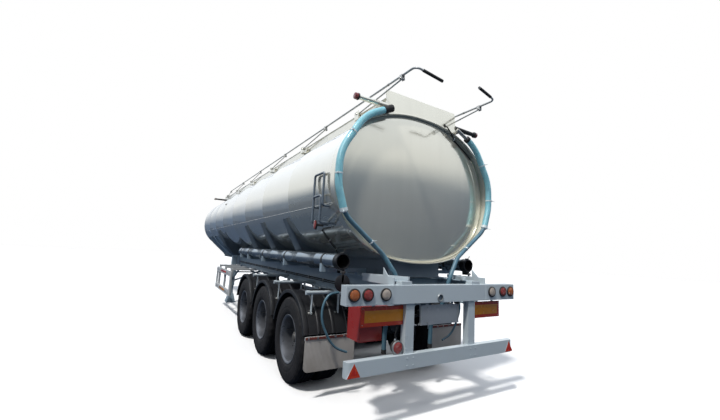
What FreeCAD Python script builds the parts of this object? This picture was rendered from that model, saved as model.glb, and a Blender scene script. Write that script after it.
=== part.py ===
import FreeCAD
import Part
import math
import os

# A three-axle tanker semi-trailer, standing on its landing legs.
# Frame: +X forward, +Y left, +Z up, origin on the ground under the middle of the outline.
# Lengths are millimetres. A station is measured forward from the rear face of the lamp beam.

half = 0.5
left = 1
right = -1
full_turn = 360
sides = (left, right)

# Whole vehicle
tank_front_station = 12050
rail_hook_station = -165

# Tank
tank_rear_station = 430
tank_half_width = 1250
tank_half_height = 950
tank_centre_height = 2520
tank_power = 2.2
tank_outline_points = 44
rim_depth = 105
rim_thickness = 14
seat_gap = 0.4
dish_radius = 6500
dish_overhang = 25

# Coaming and rear plate on the tank's top
coaming_y = 596
coaming_wall = 8
coaming_top_height = 3590
coaming_foot_height = 3340
coaming_rod_radius = 11
coaming_front_gap = 260
end_plate_top_height = 3712
end_plate_station = 440
end_plate_lean = 36
end_plate_thickness = 10

# Folding handrails
rail_y = 652
rail_height = 3702
rail_radius = 13
rail_front_station = 10560
rail_bend_radius = 75
hook_tip_y = 300
hook_tip_height_left = 3622
hook_tip_height_right = 3742
hook_tip_station = -215
sleeve_start_y = 560
sleeve_skin = 4
post_count = 6
post_first_station = 1075
post_spacing = 2080
post_length = 1000
post_radius = 10
post_pivot_height = 3566
lug_drop = 40
post_eye_radius = 17
post_eye_width = 24
post_pin_radius = 7
post_pin_clearance = 0.6
fork_plate = 6
fork_gap = 5
bracket_length = 110
bracket_rise = 36
bracket_drop = 80
lug_width = 44

# Walkway
walkway_y = 425
walkway_width = 200
walkway_thickness = 22
walkway_height = 3490
walkway_start_station = 720
walkway_end_gap = 420
walkway_foot_count = 12
walkway_foot_length = 40
walkway_foot_depth = 120

# Manholes
manhole_stations = (2700, 6200, 9700)
manhole_radius = 255
manhole_wall = 14
manhole_top_height = 3568
manhole_depth = 220
lid_radius = 262
lid_thickness = 26
lid_dome_rise = 26
lid_dome_radius = 175
lid_gap = 5
lid_arm_width = 60
lid_arm_length = 60
lid_pin_radius = 11
lid_pin_clearance = 0.6
lid_pin_rise = 24
lid_eye_radius = 24
lid_eye_width = 56
lid_lug_thickness = 14
lid_lug_gap = 6
lid_handle_reach = 60
lid_handle_radius = 9

# Chassis
beam_y = 530
beam_width = 140
beam_height = 280
beam_top_height = 1400
beam_flange = 14
beam_web = 10
beam_rear_station = 95
beam_front_station = 8900
cross_stations = (650, 2220, 3530, 4840, 6100, 7350, 8700)
cross_width = 90
cross_height = 160
cross_wall = 12

# Saddles under the tank
saddle_stations = (2220, 3530, 4840, 8620)
saddle_thickness = 12
saddle_outline = ((1175, 2135), (1060, 1905), (930, 1680), (760, 1480), (640, 1400))
saddle_flange_width = 90
saddle_flange_thickness = 10
rear_saddle_station = 530
rear_saddle_half_top = 370
rear_saddle_half_foot = 412
saddle_top_height = 2200

# Coupler under the front
coupler_rear_station = 9250
coupler_front_gap = 330
coupler_foot_height = 1300
coupler_outline = ((1085, 1995), (870, 1760), (680, 1590), (470, 1400), (400, 1300))
coupler_rib_stations = (9250, 10100, 10950, 11650)
coupler_rib_thickness = 16
coupler_rib_stand = 30
skid_plate_half_width = 470
skid_plate_thickness = 12
skid_plate_rear_station = 10250
skid_plate_front_gap = 300
kingpin_station = 11050
kingpin_radius = 25.4
kingpin_collar_radius = 36.5
kingpin_length = 84
kingpin_head_radius = 35.6
kingpin_head_height = 17

# Wheels and axles
axle_stations = (1567, 2877, 4187)
wheel_height = 530
tyre_centres = (1100, 790)
tyre_outline = ((113, 283), (113, 304), (134, 342), (140, 400), (137, 455), (124, 508), (106, 530))
rim_flange_radius = 300
rim_flange_width = 10
rim_seat_radius = 283
rim_inner_radius = 268
rim_half_width = 113
rim_gap = 0.3
disc_thickness = 18
disc_y = 945
disc_outer_radius = 272
hand_hole_count = 8
hand_hole_radius = 30
hand_hole_circle = 205
hub_flange_radius = 140
hub_flange_width = 34
hub_radius = 96
hub_end_y = 1120
hub_cap_radius = 66
hub_cap_end_y = 1150
drum_radius = 208
drum_wall = 16
drum_inner_y = 655
spindle_radius = 40
spindle_end_y = 1060
spindle_clearance = 1
axle_tube_radius = 74
axle_tube_half_length = 560
spider_radius = 180
spider_width = 20
spider_y = 668
brake_chamber_radius = 85
brake_chamber_length = 130
brake_chamber_y = 300
brake_chamber_offset = 230
brake_chamber_rise = 90
camshaft_radius = 19

# Leaf springs and their hangers
spring_width = 90
spring_leaf = 16
spring_leaf_count = 7
spring_half_length = 560
spring_step = 66
spring_camber = 45
rocker_length = 270
rocker_height = 64
rocker_width = 74
rocker_pin_radius = 20
spring_seat_height = 150
ubolt_radius = 11
ubolt_offset = 62
hanger_thickness = 14
hanger_width = 170
hanger_foot_width = 90
hanger_foot_height = 800

# Mudguards and flaps
guard_radius = 604
guard_skin = 8
guard_start_angle = 14
guard_end_angle = 164
guard_inner_y = 655
guard_outer_y = 1248
guard_rib_count = 4
guard_rib_width = 26
guard_rib_rise = 9
guard_lip = 28
guard_arm_radius = 22
guard_arm_offset = 470
guard_arm_height = 1165
guard_arm_end_y = 1205
guard_arm_cap_radius = 27
guard_arm_cap_length = 40
guard_link_ys = (760, 1120)
guard_link_width = 40
guard_link_thickness = 8
flap_station = 900
flap_thickness = 8
flap_inner_y = 610
flap_outer_y = 1250
flap_foot_height = 312
flap_top_height = 692
flap_corner_radius = 55
flap_strip_height = 30
flap_strip_thickness = 6
flap_bar_height = 36
flap_bar_thickness = 12
flap_stay_width = 50

# Hose tubes
hose_tube_y = 1010
hose_tube_height = 1566
hose_tube_radius = 84
hose_tube_wall = 6
hose_tube_rear_station = 560
hose_tube_front_station = 5820
hose_tube_collar_length = 90
hose_tube_collar_radius = 92
hose_tube_band_stations = (960, 2370, 3640, 4810, 5530)
hose_tube_band_width = 34
hose_tube_band_thickness = 7
hose_arm_stations = (960, 2370, 3640, 4810, 5530)
hose_arm_width = 60
hose_arm_height = 50
hose_lid_radius = 94
hose_lid_thickness = 12
hose_lid_gap = 5
hose_hinge_drop = 118
hose_hinge_radius = 6
hose_hinge_clearance = 0.6
hose_hinge_eye_radius = 13
hose_hinge_eye_width = 26
hose_hinge_lug = 8
hose_hinge_lug_gap = 5

# Landing gear
leg_station = 8400
leg_width = 130
leg_bottom_height = 500
leg_top_height = 1390
inner_leg_width = 100
foot_length = 300
foot_width = 250
foot_plate = 18
foot_neck_length = 140
foot_neck_width = 120
foot_height = 270
leg_gap = 22
leg_mount_width = 240
leg_mount_height = 250
cross_shaft_radius = 20
cross_shaft_height = 900
gearbox_width = 190
gearbox_height = 150
gearbox_depth = 70
crank_radius = 12
crank_reach = 260
crank_drop = 180
leg_brace_width = 50
leg_brace_run = 900
leg_brace_height = 620

# Side guards
side_guard_y = 1190
side_guard_rear_station = 5950
side_guard_front_station = 8100
side_guard_top_height = 1070
side_guard_foot_height = 495
side_guard_board = 125
side_guard_depth = 34
side_guard_arm_stations = (6150, 7030, 7900)
side_guard_arm = 50
side_guard_arm_height = 1140

# Rear lamp beam
lamp_beam_half_width = 1250
lamp_beam_foot_height = 1171
lamp_beam_top_height = 1361
lamp_beam_depth = 110
lamp_beam_wall = 8
lamp_panel_inner_y = 700
lamp_panel_thickness = 4
beam_hole_y = 59
beam_hole_height = 1221
beam_hole_radius = 34
beam_brace_width = 40
beam_brace_outer_y = 700
beam_brace_inner_y = 430
beam_brace_rear_station = 105
beam_brace_front_station = 640
beam_gusset_height = 130

# Lamps
lamp_ys = (1168, 1016, 805)
lamp_height = 1273
lamp_radius = 60
lamp_depth = 34
lamp_ring = 6
lamp_ring_depth = 12
fog_lamp_y = 600
fog_lamp_height = 735
fog_lamp_radius = 58
fog_lamp_station = 95
fog_lamp_depth = 60
fog_bracket_width = 40
fog_bracket_thickness = 8
plate_lamp_y = 262
plate_lamp_size = 50
plate_lamp_depth = 30

# Bumper
bumper_half_width = 1205
bumper_foot_height = 524
bumper_top_height = 670
bumper_depth = 70
bumper_wall = 8
bumper_corner_radius = 50
bumper_post_y = 468
bumper_post_width = 110
bumper_post_depth = 90
triangle_y = 1130
triangle_half_base = 72
triangle_height = 128
triangle_thickness = 3

# Rear plates
marking_outer_y = 1040
marking_width = 565
marking_foot_height = 954
marking_height = 196
marking_thickness = 4
marking_station = 66
marking_strap_width = 40
number_plate_half_width = 282
number_plate_foot_height = 926
number_plate_height = 212
number_plate_station = 60
number_plate_thickness = 4
number_flange = 18
number_strap_y = 190

# Extinguisher box
box_inner_y = 700
box_outer_y = 975
box_rear_station = 190
box_front_station = 440
box_foot_height = 780
box_top_height = 1120
box_bracket_height = 50
box_bracket_thickness = 8

# Clipped drain hoses on the rear rim
drain_radius = 42
drain_lip_gap = 5
drain_bend = 600
drain_route = ((560, 3440), (925, 3264), (1222, 2770), (1222, 2400), (1133, 2116))
drain_right_start = (745, 3351)
drain_sleeve_length = 130
drain_right_sleeve_length = 40
drain_sleeve_skin = 4
spigot_radius = 24
spigot_station = 458
spigot_overlap = 30
drain_tail_radius = 27
drain_tail_bend = 350
drain_tail_ring = ((1190, 2298), (1120, 2075), (600, 1670))
drain_tail_foot = ((330, 400, 1390), (420, 380, 1050), (605, 365, 860), (620, 365, 500))
drain_strap_top = (700, 455, 1130)
drain_strap_width = 30
drain_strap_thickness = 6
ties = ((31, 70), (0, 70), (-28, 70), (-53, 120))
tie_bite = 2
tie_strap = 26

# Thin free drain hoses
free_hose_radius = 14
free_hose_bend = 75
free_hose_route = (
    (905, 1195, 815),
    (1010, 1195, 815),
    (1085, 1110, 812),
    (1115, 990, 808),
    (1100, 860, 805),
    (1045, 745, 803),
    (975, 630, 801),
    (880, 552, 800),
    (765, 515, 800),
)
free_hose_tail_radius = 11
free_hose_tail_length = 60

# Grab tubes on the left flank
grab_radius = 14
grab_bend = 60
grab_edge_inset = 2
grab_loops = ((905, 640, 2560, 2180), (900, 690, 2300, 1990))

# Marker lamps
marker_stalk_radius = 25
marker_stalk_station = 470
marker_stalk_height = 3492
marker_stalk_end_y = 985
marker_lamp_radius = 42
marker_lamp_length = 62
marker_root_inset = 30
front_marker_station = 11700
side_marker_station = 800
side_marker_height = 1965
side_marker_y = 1262
side_marker_width = 60
side_marker_tall = 110
side_marker_depth = 30
side_marker_arm = 22
side_marker_root_y = 1000

# Clipped cables
cable_radius = 6
cable_bend = 30
head_cable_start = ((452, -385, 3482), (421, -410, 3450), (421, -470, 3395))
head_cable_route = ((-600, 3310), (-820, 3190), (-962, 3104))
head_cable_radius = 9
flank_cable_route = ((800, -34), (1128, -35), (1155, -40.5), (1180, -46), (1255, -51.5), (1330, -57))
cable_lift = 2.2
flank_cable_foot = (1400, 560)
plate_loop_radius = 8
plate_loop_bend = 48
plate_loop_station = 84
plate_loop_route = ((322, 1150), (371, 1150), (371, 930), (265, 930), (265, 1150), (314, 1150))
fog_cable_route = ((90, 600, 780), (90, 600, 860), (120, 520, 980), (120, 520, 1120))

# Air tanks
air_tank_radius = 138
air_tank_length = 820
air_tank_y = 230
air_tank_height = 1110
air_tank_station = 5470
air_strap_width = 40
air_strap_thickness = 6

# Discharge pipes on the right side
outlet_stations = (5350, 5700, 6050)
outlet_radius = 52
outlet_height = 1015
outlet_top_height = 1640
outlet_bend = 150
outlet_end_y = -880
outlet_y = -250
outlet_flange_radius = 82
outlet_flange_width = 22
outlet_valve_radius = 76
outlet_valve_width = 90
outlet_bore_radius = 44

# Derived places
tip_heights = (hook_tip_height_left, hook_tip_height_right)
tip_extents = []
for tip_height in tip_heights:
    tip_run = rail_hook_station - hook_tip_station
    tip_length = math.sqrt(tip_run * tip_run + (rail_y - hook_tip_y) * (rail_y - hook_tip_y)
                           + (rail_height - tip_height) * (rail_height - tip_height))
    tip_share = tip_run / tip_length
    tip_extents.append(hook_tip_station - (rail_radius + sleeve_skin) * math.sqrt(left - tip_share * tip_share))
rear_extent = min(tip_extents)
front_extent = tank_front_station + dish_overhang
middle_station = (front_extent + rear_extent) * half
grab_stand = side_marker_y + side_marker_depth - tank_half_width - grab_radius - grab_edge_inset


def X(station):
    return station - middle_station


def V(x, y, z):
    return FreeCAD.Vector(x, y, z)


def box(x0, x1, y0, y1, z0, z1):
    low = V(min(x0, x1), min(y0, y1), min(z0, z1))
    return Part.makeBox(abs(x1 - x0), abs(y1 - y0), abs(z1 - z0), low)


def rod(start, end, radius):
    run = end - start
    return Part.makeCylinder(radius, run.Length, start, run)


def across(x, y0, y1, z, radius):
    return rod(V(x, min(y0, y1), z), V(x, max(y0, y1), z), radius)


def along(x0, x1, y, z, radius):
    return rod(V(min(x0, x1), y, z), V(max(x0, x1), y, z), radius)


def join(shapes):
    first = shapes[0]
    rest = shapes[len(sides) - left:]
    if not rest:
        return first
    return first.fuse(rest).removeSplitter()


def group(shapes):
    return Part.makeCompound(shapes)


def mirror(shape):
    return shape.mirror(V(0, 0, 0), V(0, left, 0))


def both(shape):
    return [shape, mirror(shape)]


def prism(points, direction):
    corners = [V(*point) for point in points]
    corners.append(corners[0])
    return Part.Face(Part.makePolygon(corners)).extrude(direction)


def profile_prism_x(points, x0, x1):
    return prism([(x0, y, z) for y, z in points], V(x1 - x0, 0, 0))


def profile_prism_y(points, y0, y1):
    return prism([(x, y0, z) for x, z in points], V(0, y1 - y0, 0))


def route(points, bend):
    corners = [V(*point) for point in points]
    edges = []
    start = corners[0]
    for index, corner in enumerate(corners):
        if index == 0 or index == len(corners) - left:
            continue
        back = corners[index - left] - corner
        ahead = corners[index + left] - corner
        angle = back.getAngle(ahead)
        if abs(math.pi - angle) < math.radians(left):
            continue
        reach = bend / math.tan(angle * half)
        back.normalize()
        ahead.normalize()
        arc_start = corner + back * reach
        arc_end = corner + ahead * reach
        bisector = back + ahead
        bisector.normalize()
        centre = corner + bisector * (bend / math.sin(angle * half))
        arc_middle = centre - bisector * bend
        edges.append(Part.makeLine(start, arc_start))
        edges.append(Part.Arc(arc_start, arc_middle, arc_end).toShape())
        start = arc_end
    edges.append(Part.makeLine(start, corners[-left]))
    return Part.Wire(edges)


def tube(points, radius, bend):
    path = route(points, bend)
    first = V(*points[0])
    heading = V(*points[left]) - first
    ring = Part.Wire([Part.makeCircle(radius, first, heading)])
    return path.makePipeShell([ring], True, False)


def bar(start, end, width, height):
    run = V(*end) - V(*start)
    block = Part.makeBox(run.Length, width, height, V(0, -width * half, -height * half))
    turn = FreeCAD.Rotation(V(left, 0, 0), run)
    block.Placement = FreeCAD.Placement(V(*start), turn)
    return block


def save(name, shape):
    os.makedirs("parts", exist_ok=True)
    shape.exportStep("parts/" + name + ".step")


def section_point(angle, inset):
    c = math.cos(math.radians(angle))
    s = math.sin(math.radians(angle))
    power = (left + left) / tank_power
    y = (tank_half_width - inset) * math.copysign(abs(c) ** power, c)
    z = (tank_half_height - inset) * math.copysign(abs(s) ** power, s)
    return y, tank_centre_height + z


def section_face(station, inset):
    points = []
    for step in range(tank_outline_points):
        y, z = section_point(full_turn * step / tank_outline_points, inset)
        points.append(V(X(station), y, z))
    curve = Part.BSplineCurve()
    curve.interpolate(Points=points, PeriodicFlag=True)
    return Part.Face(Part.Wire([curve.toShape()]))


def section_solid(station0, station1, inset):
    return section_face(station0, inset).extrude(V(station1 - station0, 0, 0))


def flank_y(z):
    share = abs(z - tank_centre_height) / tank_half_height
    return tank_half_width * (left - share ** tank_power) ** (left / tank_power)


# Tank: barrel, rim rings and shallow dished ends in one shell
def dish(station, outward):
    inner = station - outward * rim_depth
    body = section_solid(min(inner, station + outward * dish_overhang),
                         max(inner, station + outward * dish_overhang), rim_thickness)
    centre = V(X(station + outward * dish_overhang) - outward * dish_radius, 0, tank_centre_height)
    return body.common(Part.makeSphere(dish_radius, centre))


def rim(station, inward):
    end = station + inward * rim_depth
    outer = section_solid(min(station, end), max(station, end), 0)
    return outer.cut(section_solid(min(station, end), max(station, end), rim_thickness))


barrel = section_solid(tank_rear_station + rim_depth, tank_front_station - rim_depth, 0)
tank_body = join([barrel, rim(tank_rear_station, left), rim(tank_front_station, right)])
tank = join([tank_body, dish(tank_rear_station, right), dish(tank_front_station, left)])
save("tank", tank)
tank_block = section_solid(tank_rear_station, tank_front_station, -seat_gap)

# Coaming with end plates, top rods and the post brackets
coaming_front_station = tank_front_station - coaming_front_gap
wall_gap = end_plate_lean + end_plate_thickness + seat_gap


def end_plate(station, inward):
    return prism([
        (X(station), -coaming_y, coaming_foot_height),
        (X(station), coaming_y, coaming_foot_height),
        (X(station + inward * end_plate_lean), coaming_y, end_plate_top_height),
        (X(station + inward * end_plate_lean), -coaming_y, end_plate_top_height),
    ], V(inward * end_plate_thickness, 0, 0))


post_stations = [post_first_station + index * post_spacing for index in range(post_count)]
plate_y = post_eye_width * half + fork_gap


def coaming_side(side):
    x0 = X(end_plate_station) + wall_gap
    x1 = X(coaming_front_station) - wall_gap
    pieces = [
        box(x0, x1, side * coaming_y, side * (coaming_y - coaming_wall), coaming_foot_height, coaming_top_height),
        along(x0, x1, side * coaming_y, coaming_top_height, coaming_rod_radius),
    ]
    for station in post_stations:
        low_x = X(station) - bracket_length * half
        high_x = X(station) + bracket_length * half
        plate_foot = post_pivot_height - bracket_drop
        for cheek in sides:
            inner = side * rail_y + cheek * plate_y
            pieces.append(box(low_x, high_x, inner, inner + cheek * fork_plate,
                              plate_foot, post_pivot_height + bracket_rise))
        pieces.append(box(low_x, high_x, side * (coaming_y - coaming_wall), side * (rail_y + plate_y + fork_plate),
                          plate_foot - fork_plate, plate_foot))
        pieces.append(across(X(station), side * (rail_y - plate_y - fork_plate),
                             side * (rail_y + plate_y + fork_plate), post_pivot_height, post_pin_radius))
    return join(pieces).cut(tank_block)


coaming = group([
    coaming_side(left),
    coaming_side(right),
    end_plate(end_plate_station, left).cut(tank_block),
    end_plate(coaming_front_station, right).cut(tank_block),
])
save("coaming", coaming)

# Handrails and their folding posts
rail_pivot_height = rail_height - lug_drop
post_rise = rail_pivot_height - post_pivot_height
post_run = math.sqrt(post_length ** (left + left) - post_rise ** (left + left))


def handrail(side, tip_height):
    pipe = tube([
        (X(rail_front_station), side * rail_y, rail_height),
        (X(rail_hook_station), side * rail_y, rail_height),
        (X(hook_tip_station), side * hook_tip_y, tip_height),
    ], rail_radius, rail_bend_radius)
    reach = (rail_y - sleeve_start_y) / (rail_y - hook_tip_y)
    sleeve = rod(V(X(rail_hook_station + (hook_tip_station - rail_hook_station) * reach),
                   side * sleeve_start_y, rail_height + (tip_height - rail_height) * reach),
                 V(X(hook_tip_station), side * hook_tip_y, tip_height), rail_radius + sleeve_skin)
    pieces = [pipe, sleeve]
    for station in post_stations:
        x = X(station) - post_run
        for cheek in sides:
            inner = side * rail_y + cheek * plate_y
            pieces.append(box(x - lug_width * half, x + lug_width * half,
                              inner, inner + cheek * fork_plate,
                              rail_pivot_height - post_eye_radius, rail_height))
        pieces.append(box(x - lug_width * half, x + lug_width * half,
                          side * rail_y - plate_y - fork_plate, side * rail_y + plate_y + fork_plate,
                          rail_height - fork_plate, rail_height + fork_plate))
        pieces.append(across(x, side * rail_y - plate_y - fork_plate, side * rail_y + plate_y + fork_plate,
                             rail_pivot_height, post_pin_radius))
    return join(pieces)


def post(station, side):
    foot = V(X(station), side * rail_y, post_pivot_height)
    head = V(X(station) - post_run, side * rail_y, rail_pivot_height)
    y0 = side * rail_y - post_eye_width * half
    y1 = side * rail_y + post_eye_width * half
    body = join([
        rod(foot, head, post_radius),
        across(foot.x, y0, y1, foot.z, post_eye_radius),
        across(head.x, y0, y1, head.z, post_eye_radius),
    ])
    bores = [
        across(foot.x, y0 - fork_gap, y1 + fork_gap, foot.z, post_pin_radius + post_pin_clearance),
        across(head.x, y0 - fork_gap, y1 + fork_gap, head.z, post_pin_radius + post_pin_clearance),
    ]
    return body.cut(bores)


save("handrail_left", handrail(left, hook_tip_height_left))
save("handrail_right", handrail(right, hook_tip_height_right))
for side, side_name in ((left, "left"), (right, "right")):
    for index, station in enumerate(post_stations):
        save("rail_post_" + side_name + "_" + str(index + left), post(station, side))

# Walkway planks along the top
walkway_end_station = tank_front_station - walkway_end_gap
walkway_parts = []
for side in sides:
    planks = [box(X(walkway_start_station), X(walkway_end_station),
                  side * walkway_y - walkway_width * half, side * walkway_y + walkway_width * half,
                  walkway_height - walkway_thickness, walkway_height)]
    walkway_run = walkway_end_station - walkway_start_station - walkway_foot_length
    foot_spacing = walkway_run / (walkway_foot_count - left)
    for index in range(walkway_foot_count):
        x = X(walkway_start_station + index * foot_spacing)
        planks.append(box(x, x + walkway_foot_length,
                          side * walkway_y - walkway_width * half, side * walkway_y + walkway_width * half,
                          walkway_height - walkway_thickness - walkway_foot_depth,
                          walkway_height - walkway_thickness))
    walkway_parts.append(join(planks).cut(tank_block))
save("walkway", group(walkway_parts))

# Manholes and their lids, each lid hinged at the rear of its ring
lid_pin_height = manhole_top_height + lid_pin_rise
manhole_parts = []
lid_names = ("rear", "middle", "front")
for station, lid_name in zip(manhole_stations, lid_names):
    x = X(station)
    hinge_x = x - lid_radius - lid_arm_length * half
    neck_foot = V(x, 0, manhole_top_height - manhole_depth)
    neck = Part.makeCylinder(manhole_radius, manhole_depth, neck_foot)
    well = Part.makeCylinder(manhole_radius - manhole_wall, manhole_depth, neck_foot)
    ring_parts = [neck.cut([well, tank_block])]
    for cheek in sides:
        inner = cheek * (lid_eye_width * half + lid_lug_gap)
        ring_parts.append(profile_prism_y([
            (hinge_x - lid_eye_radius, lid_pin_height),
            (hinge_x + lid_eye_radius, lid_pin_height),
            (hinge_x + lid_eye_radius, manhole_top_height - lid_lug_gap),
            (x - manhole_radius + manhole_wall * half, manhole_top_height - lid_lug_gap),
            (x - manhole_radius + manhole_wall * half, manhole_top_height - lid_arm_width),
            (hinge_x - lid_eye_radius, manhole_top_height - lid_arm_width),
        ], inner, inner + cheek * lid_lug_thickness))
        ring_parts.append(across(hinge_x, inner, inner + cheek * lid_lug_thickness, lid_pin_height,
                                 lid_eye_radius))
    pin_end = lid_eye_width * half + lid_lug_gap + lid_lug_thickness
    ring_parts.append(across(hinge_x, -pin_end, pin_end, lid_pin_height, lid_pin_radius))
    manhole_parts.append(join(ring_parts))
    disc_foot = manhole_top_height + lid_gap
    lid_parts = [
        Part.makeCylinder(lid_radius, lid_thickness, V(x, 0, disc_foot)),
        Part.makeCylinder(lid_dome_radius, lid_thickness + lid_dome_rise, V(x, 0, disc_foot)),
        box(hinge_x, x - lid_radius + lid_arm_length, -lid_eye_width * half, lid_eye_width * half,
            disc_foot, disc_foot + lid_thickness),
        across(hinge_x, -lid_eye_width * half, lid_eye_width * half, lid_pin_height, lid_eye_radius),
        tube([
            (x + lid_radius - lid_thickness, -lid_arm_width, disc_foot + lid_thickness * half),
            (x + lid_radius + lid_handle_reach, -lid_arm_width, disc_foot + lid_thickness * half),
            (x + lid_radius + lid_handle_reach, lid_arm_width, disc_foot + lid_thickness * half),
            (x + lid_radius - lid_thickness, lid_arm_width, disc_foot + lid_thickness * half),
        ], lid_handle_radius, lid_handle_radius + lid_handle_radius),
    ]
    lid = join(lid_parts).cut(across(hinge_x, -pin_end, pin_end, lid_pin_height,
                                     lid_pin_radius + lid_pin_clearance))
    save("manhole_lid_" + lid_name, lid)
save("manholes", group(manhole_parts))

# Chassis: two beams, cross members and spring hangers
beam_foot_height = beam_top_height - beam_height
hanger_offset = (axle_stations[left] - axle_stations[0]) * half
spring_foot = wheel_height + spring_seat_height
spring_end_height = spring_foot + spring_leaf_count * spring_leaf + spring_camber
rocker_pin_height = spring_end_height + seat_gap + rocker_height * half
hanger_stations = [axle_stations[0] - hanger_offset]
for station in axle_stations:
    hanger_stations.append(station + hanger_offset)


def beam(side):
    y = side * beam_y
    top = box(X(beam_rear_station), X(beam_front_station), y - beam_width * half, y + beam_width * half,
              beam_top_height - beam_flange, beam_top_height)
    foot = box(X(beam_rear_station), X(beam_front_station), y - beam_width * half, y + beam_width * half,
               beam_foot_height, beam_foot_height + beam_flange)
    web = box(X(beam_rear_station), X(beam_front_station), y - beam_web * half, y + beam_web * half,
              beam_foot_height, beam_top_height)
    return [top, foot, web]


chassis_parts = beam(left) + beam(right)
cross_top = beam_top_height - beam_flange
for station in cross_stations:
    chassis_parts.append(box(X(station) - cross_width * half, X(station) + cross_width * half,
                             -beam_y, beam_y, cross_top - cross_wall, cross_top))
    chassis_parts.append(box(X(station) - cross_wall * half, X(station) + cross_wall * half,
                             -beam_y, beam_y, cross_top - cross_height, cross_top))
hanger_top = beam_foot_height - seat_gap
hangers = []
for station in hanger_stations:
    inner_y = beam_y - beam_width * half
    chassis_parts.append(box(X(station) - cross_wall * half, X(station) + cross_wall * half,
                             -inner_y, inner_y, beam_foot_height, beam_foot_height + cross_width))
    for side in sides:
        pieces = [across(X(station), side * beam_y - spring_width * half - hanger_thickness,
                         side * beam_y + spring_width * half + hanger_thickness,
                         rocker_pin_height, rocker_pin_radius)]
        for cheek in sides:
            y = side * beam_y + cheek * (spring_width * half + hanger_thickness)
            pieces.append(profile_prism_y([
                (X(station) - hanger_width * half, hanger_top),
                (X(station) + hanger_width * half, hanger_top),
                (X(station) + hanger_foot_width * half, hanger_foot_height),
                (X(station) - hanger_foot_width * half, hanger_foot_height),
            ], y, y - cheek * hanger_thickness * half))
        hangers.append(join(pieces))
chassis = group([join(chassis_parts)] + hangers)
save("chassis", chassis)

# Saddles between beams and tank
below_beams = box(X(0), X(tank_front_station), -tank_half_width, tank_half_width, 0, beam_top_height)


def pad(side, gap):
    x0 = X(rear_saddle_station) + saddle_thickness + seat_gap - gap
    return box(x0, X(saddle_stations[-left]) + saddle_thickness + gap,
               side * (rear_saddle_half_top - gap), side * (rear_saddle_half_top + saddle_thickness + gap),
               beam_top_height - gap, tank_centre_height)


pad_slots = [pad(side, seat_gap) for side in sides]
saddle_parts = [pad(side, 0).cut(tank_block) for side in sides]
for station in saddle_stations:
    outline = [(saddle_outline[0][0], saddle_top_height)] + list(saddle_outline)
    polygon = outline + [(-y, z) for y, z in reversed(outline)]
    pieces = [profile_prism_x(polygon, X(station) - saddle_thickness * half, X(station) + saddle_thickness * half)]
    for start, end in zip(saddle_outline, saddle_outline[left:]):
        for side in sides:
            pieces.append(bar((X(station), side * start[0], start[left]),
                              (X(station), side * end[0], end[left]),
                              saddle_flange_width, saddle_flange_thickness))
    saddle_parts += join(pieces).cut([tank_block, below_beams] + pad_slots).Solids
rear_saddle = profile_prism_x([
    (-rear_saddle_half_foot, beam_top_height),
    (rear_saddle_half_foot, beam_top_height),
    (rear_saddle_half_top, tank_centre_height - tank_half_height * half),
    (-rear_saddle_half_top, tank_centre_height - tank_half_height * half),
], X(rear_saddle_station), X(rear_saddle_station) + saddle_thickness)
saddle_parts.append(rear_saddle.cut(tank_block))
saddles = group(saddle_parts)
save("tank_saddles", saddles)

# Coupler: saddle box under the tank's front, skid plate and kingpin
coupler_front_station = tank_front_station - coupler_front_gap
coupler_polygon = list(coupler_outline) + [(-y, z) for y, z in reversed(coupler_outline)]
coupler_body = profile_prism_x(coupler_polygon, X(coupler_rear_station), X(coupler_front_station))
coupler_pieces = [coupler_body]
for station in coupler_rib_stations:
    outline = [(y + coupler_rib_stand, z) for y, z in coupler_outline]
    polygon = outline + [(-y, z) for y, z in reversed(outline)]
    coupler_pieces.append(profile_prism_x(polygon, X(station), X(station) + coupler_rib_thickness))
coupler = join(coupler_pieces).cut(tank_block)
skid_front_station = tank_front_station - skid_plate_front_gap
skid = box(X(skid_plate_rear_station), X(skid_front_station), -skid_plate_half_width, skid_plate_half_width,
           coupler_foot_height - skid_plate_thickness, coupler_foot_height)
pin_top = coupler_foot_height - skid_plate_thickness
pin = Part.makeCylinder(kingpin_radius, kingpin_length, V(X(kingpin_station), 0, pin_top - kingpin_length))
pin_head = Part.makeCylinder(kingpin_head_radius, kingpin_head_height,
                             V(X(kingpin_station), 0, pin_top - kingpin_length))
pin_collar = Part.makeCylinder(kingpin_collar_radius, kingpin_head_height,
                               V(X(kingpin_station), 0, pin_top - kingpin_head_height))
save("coupler", join([coupler, skid, pin, pin_head, pin_collar]))

# Leaf springs with their clamps
spring_parts = []


def spring_curve(x):
    share = x / spring_half_length
    return spring_foot + spring_leaf_count * spring_leaf + spring_camber * share * share


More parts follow.
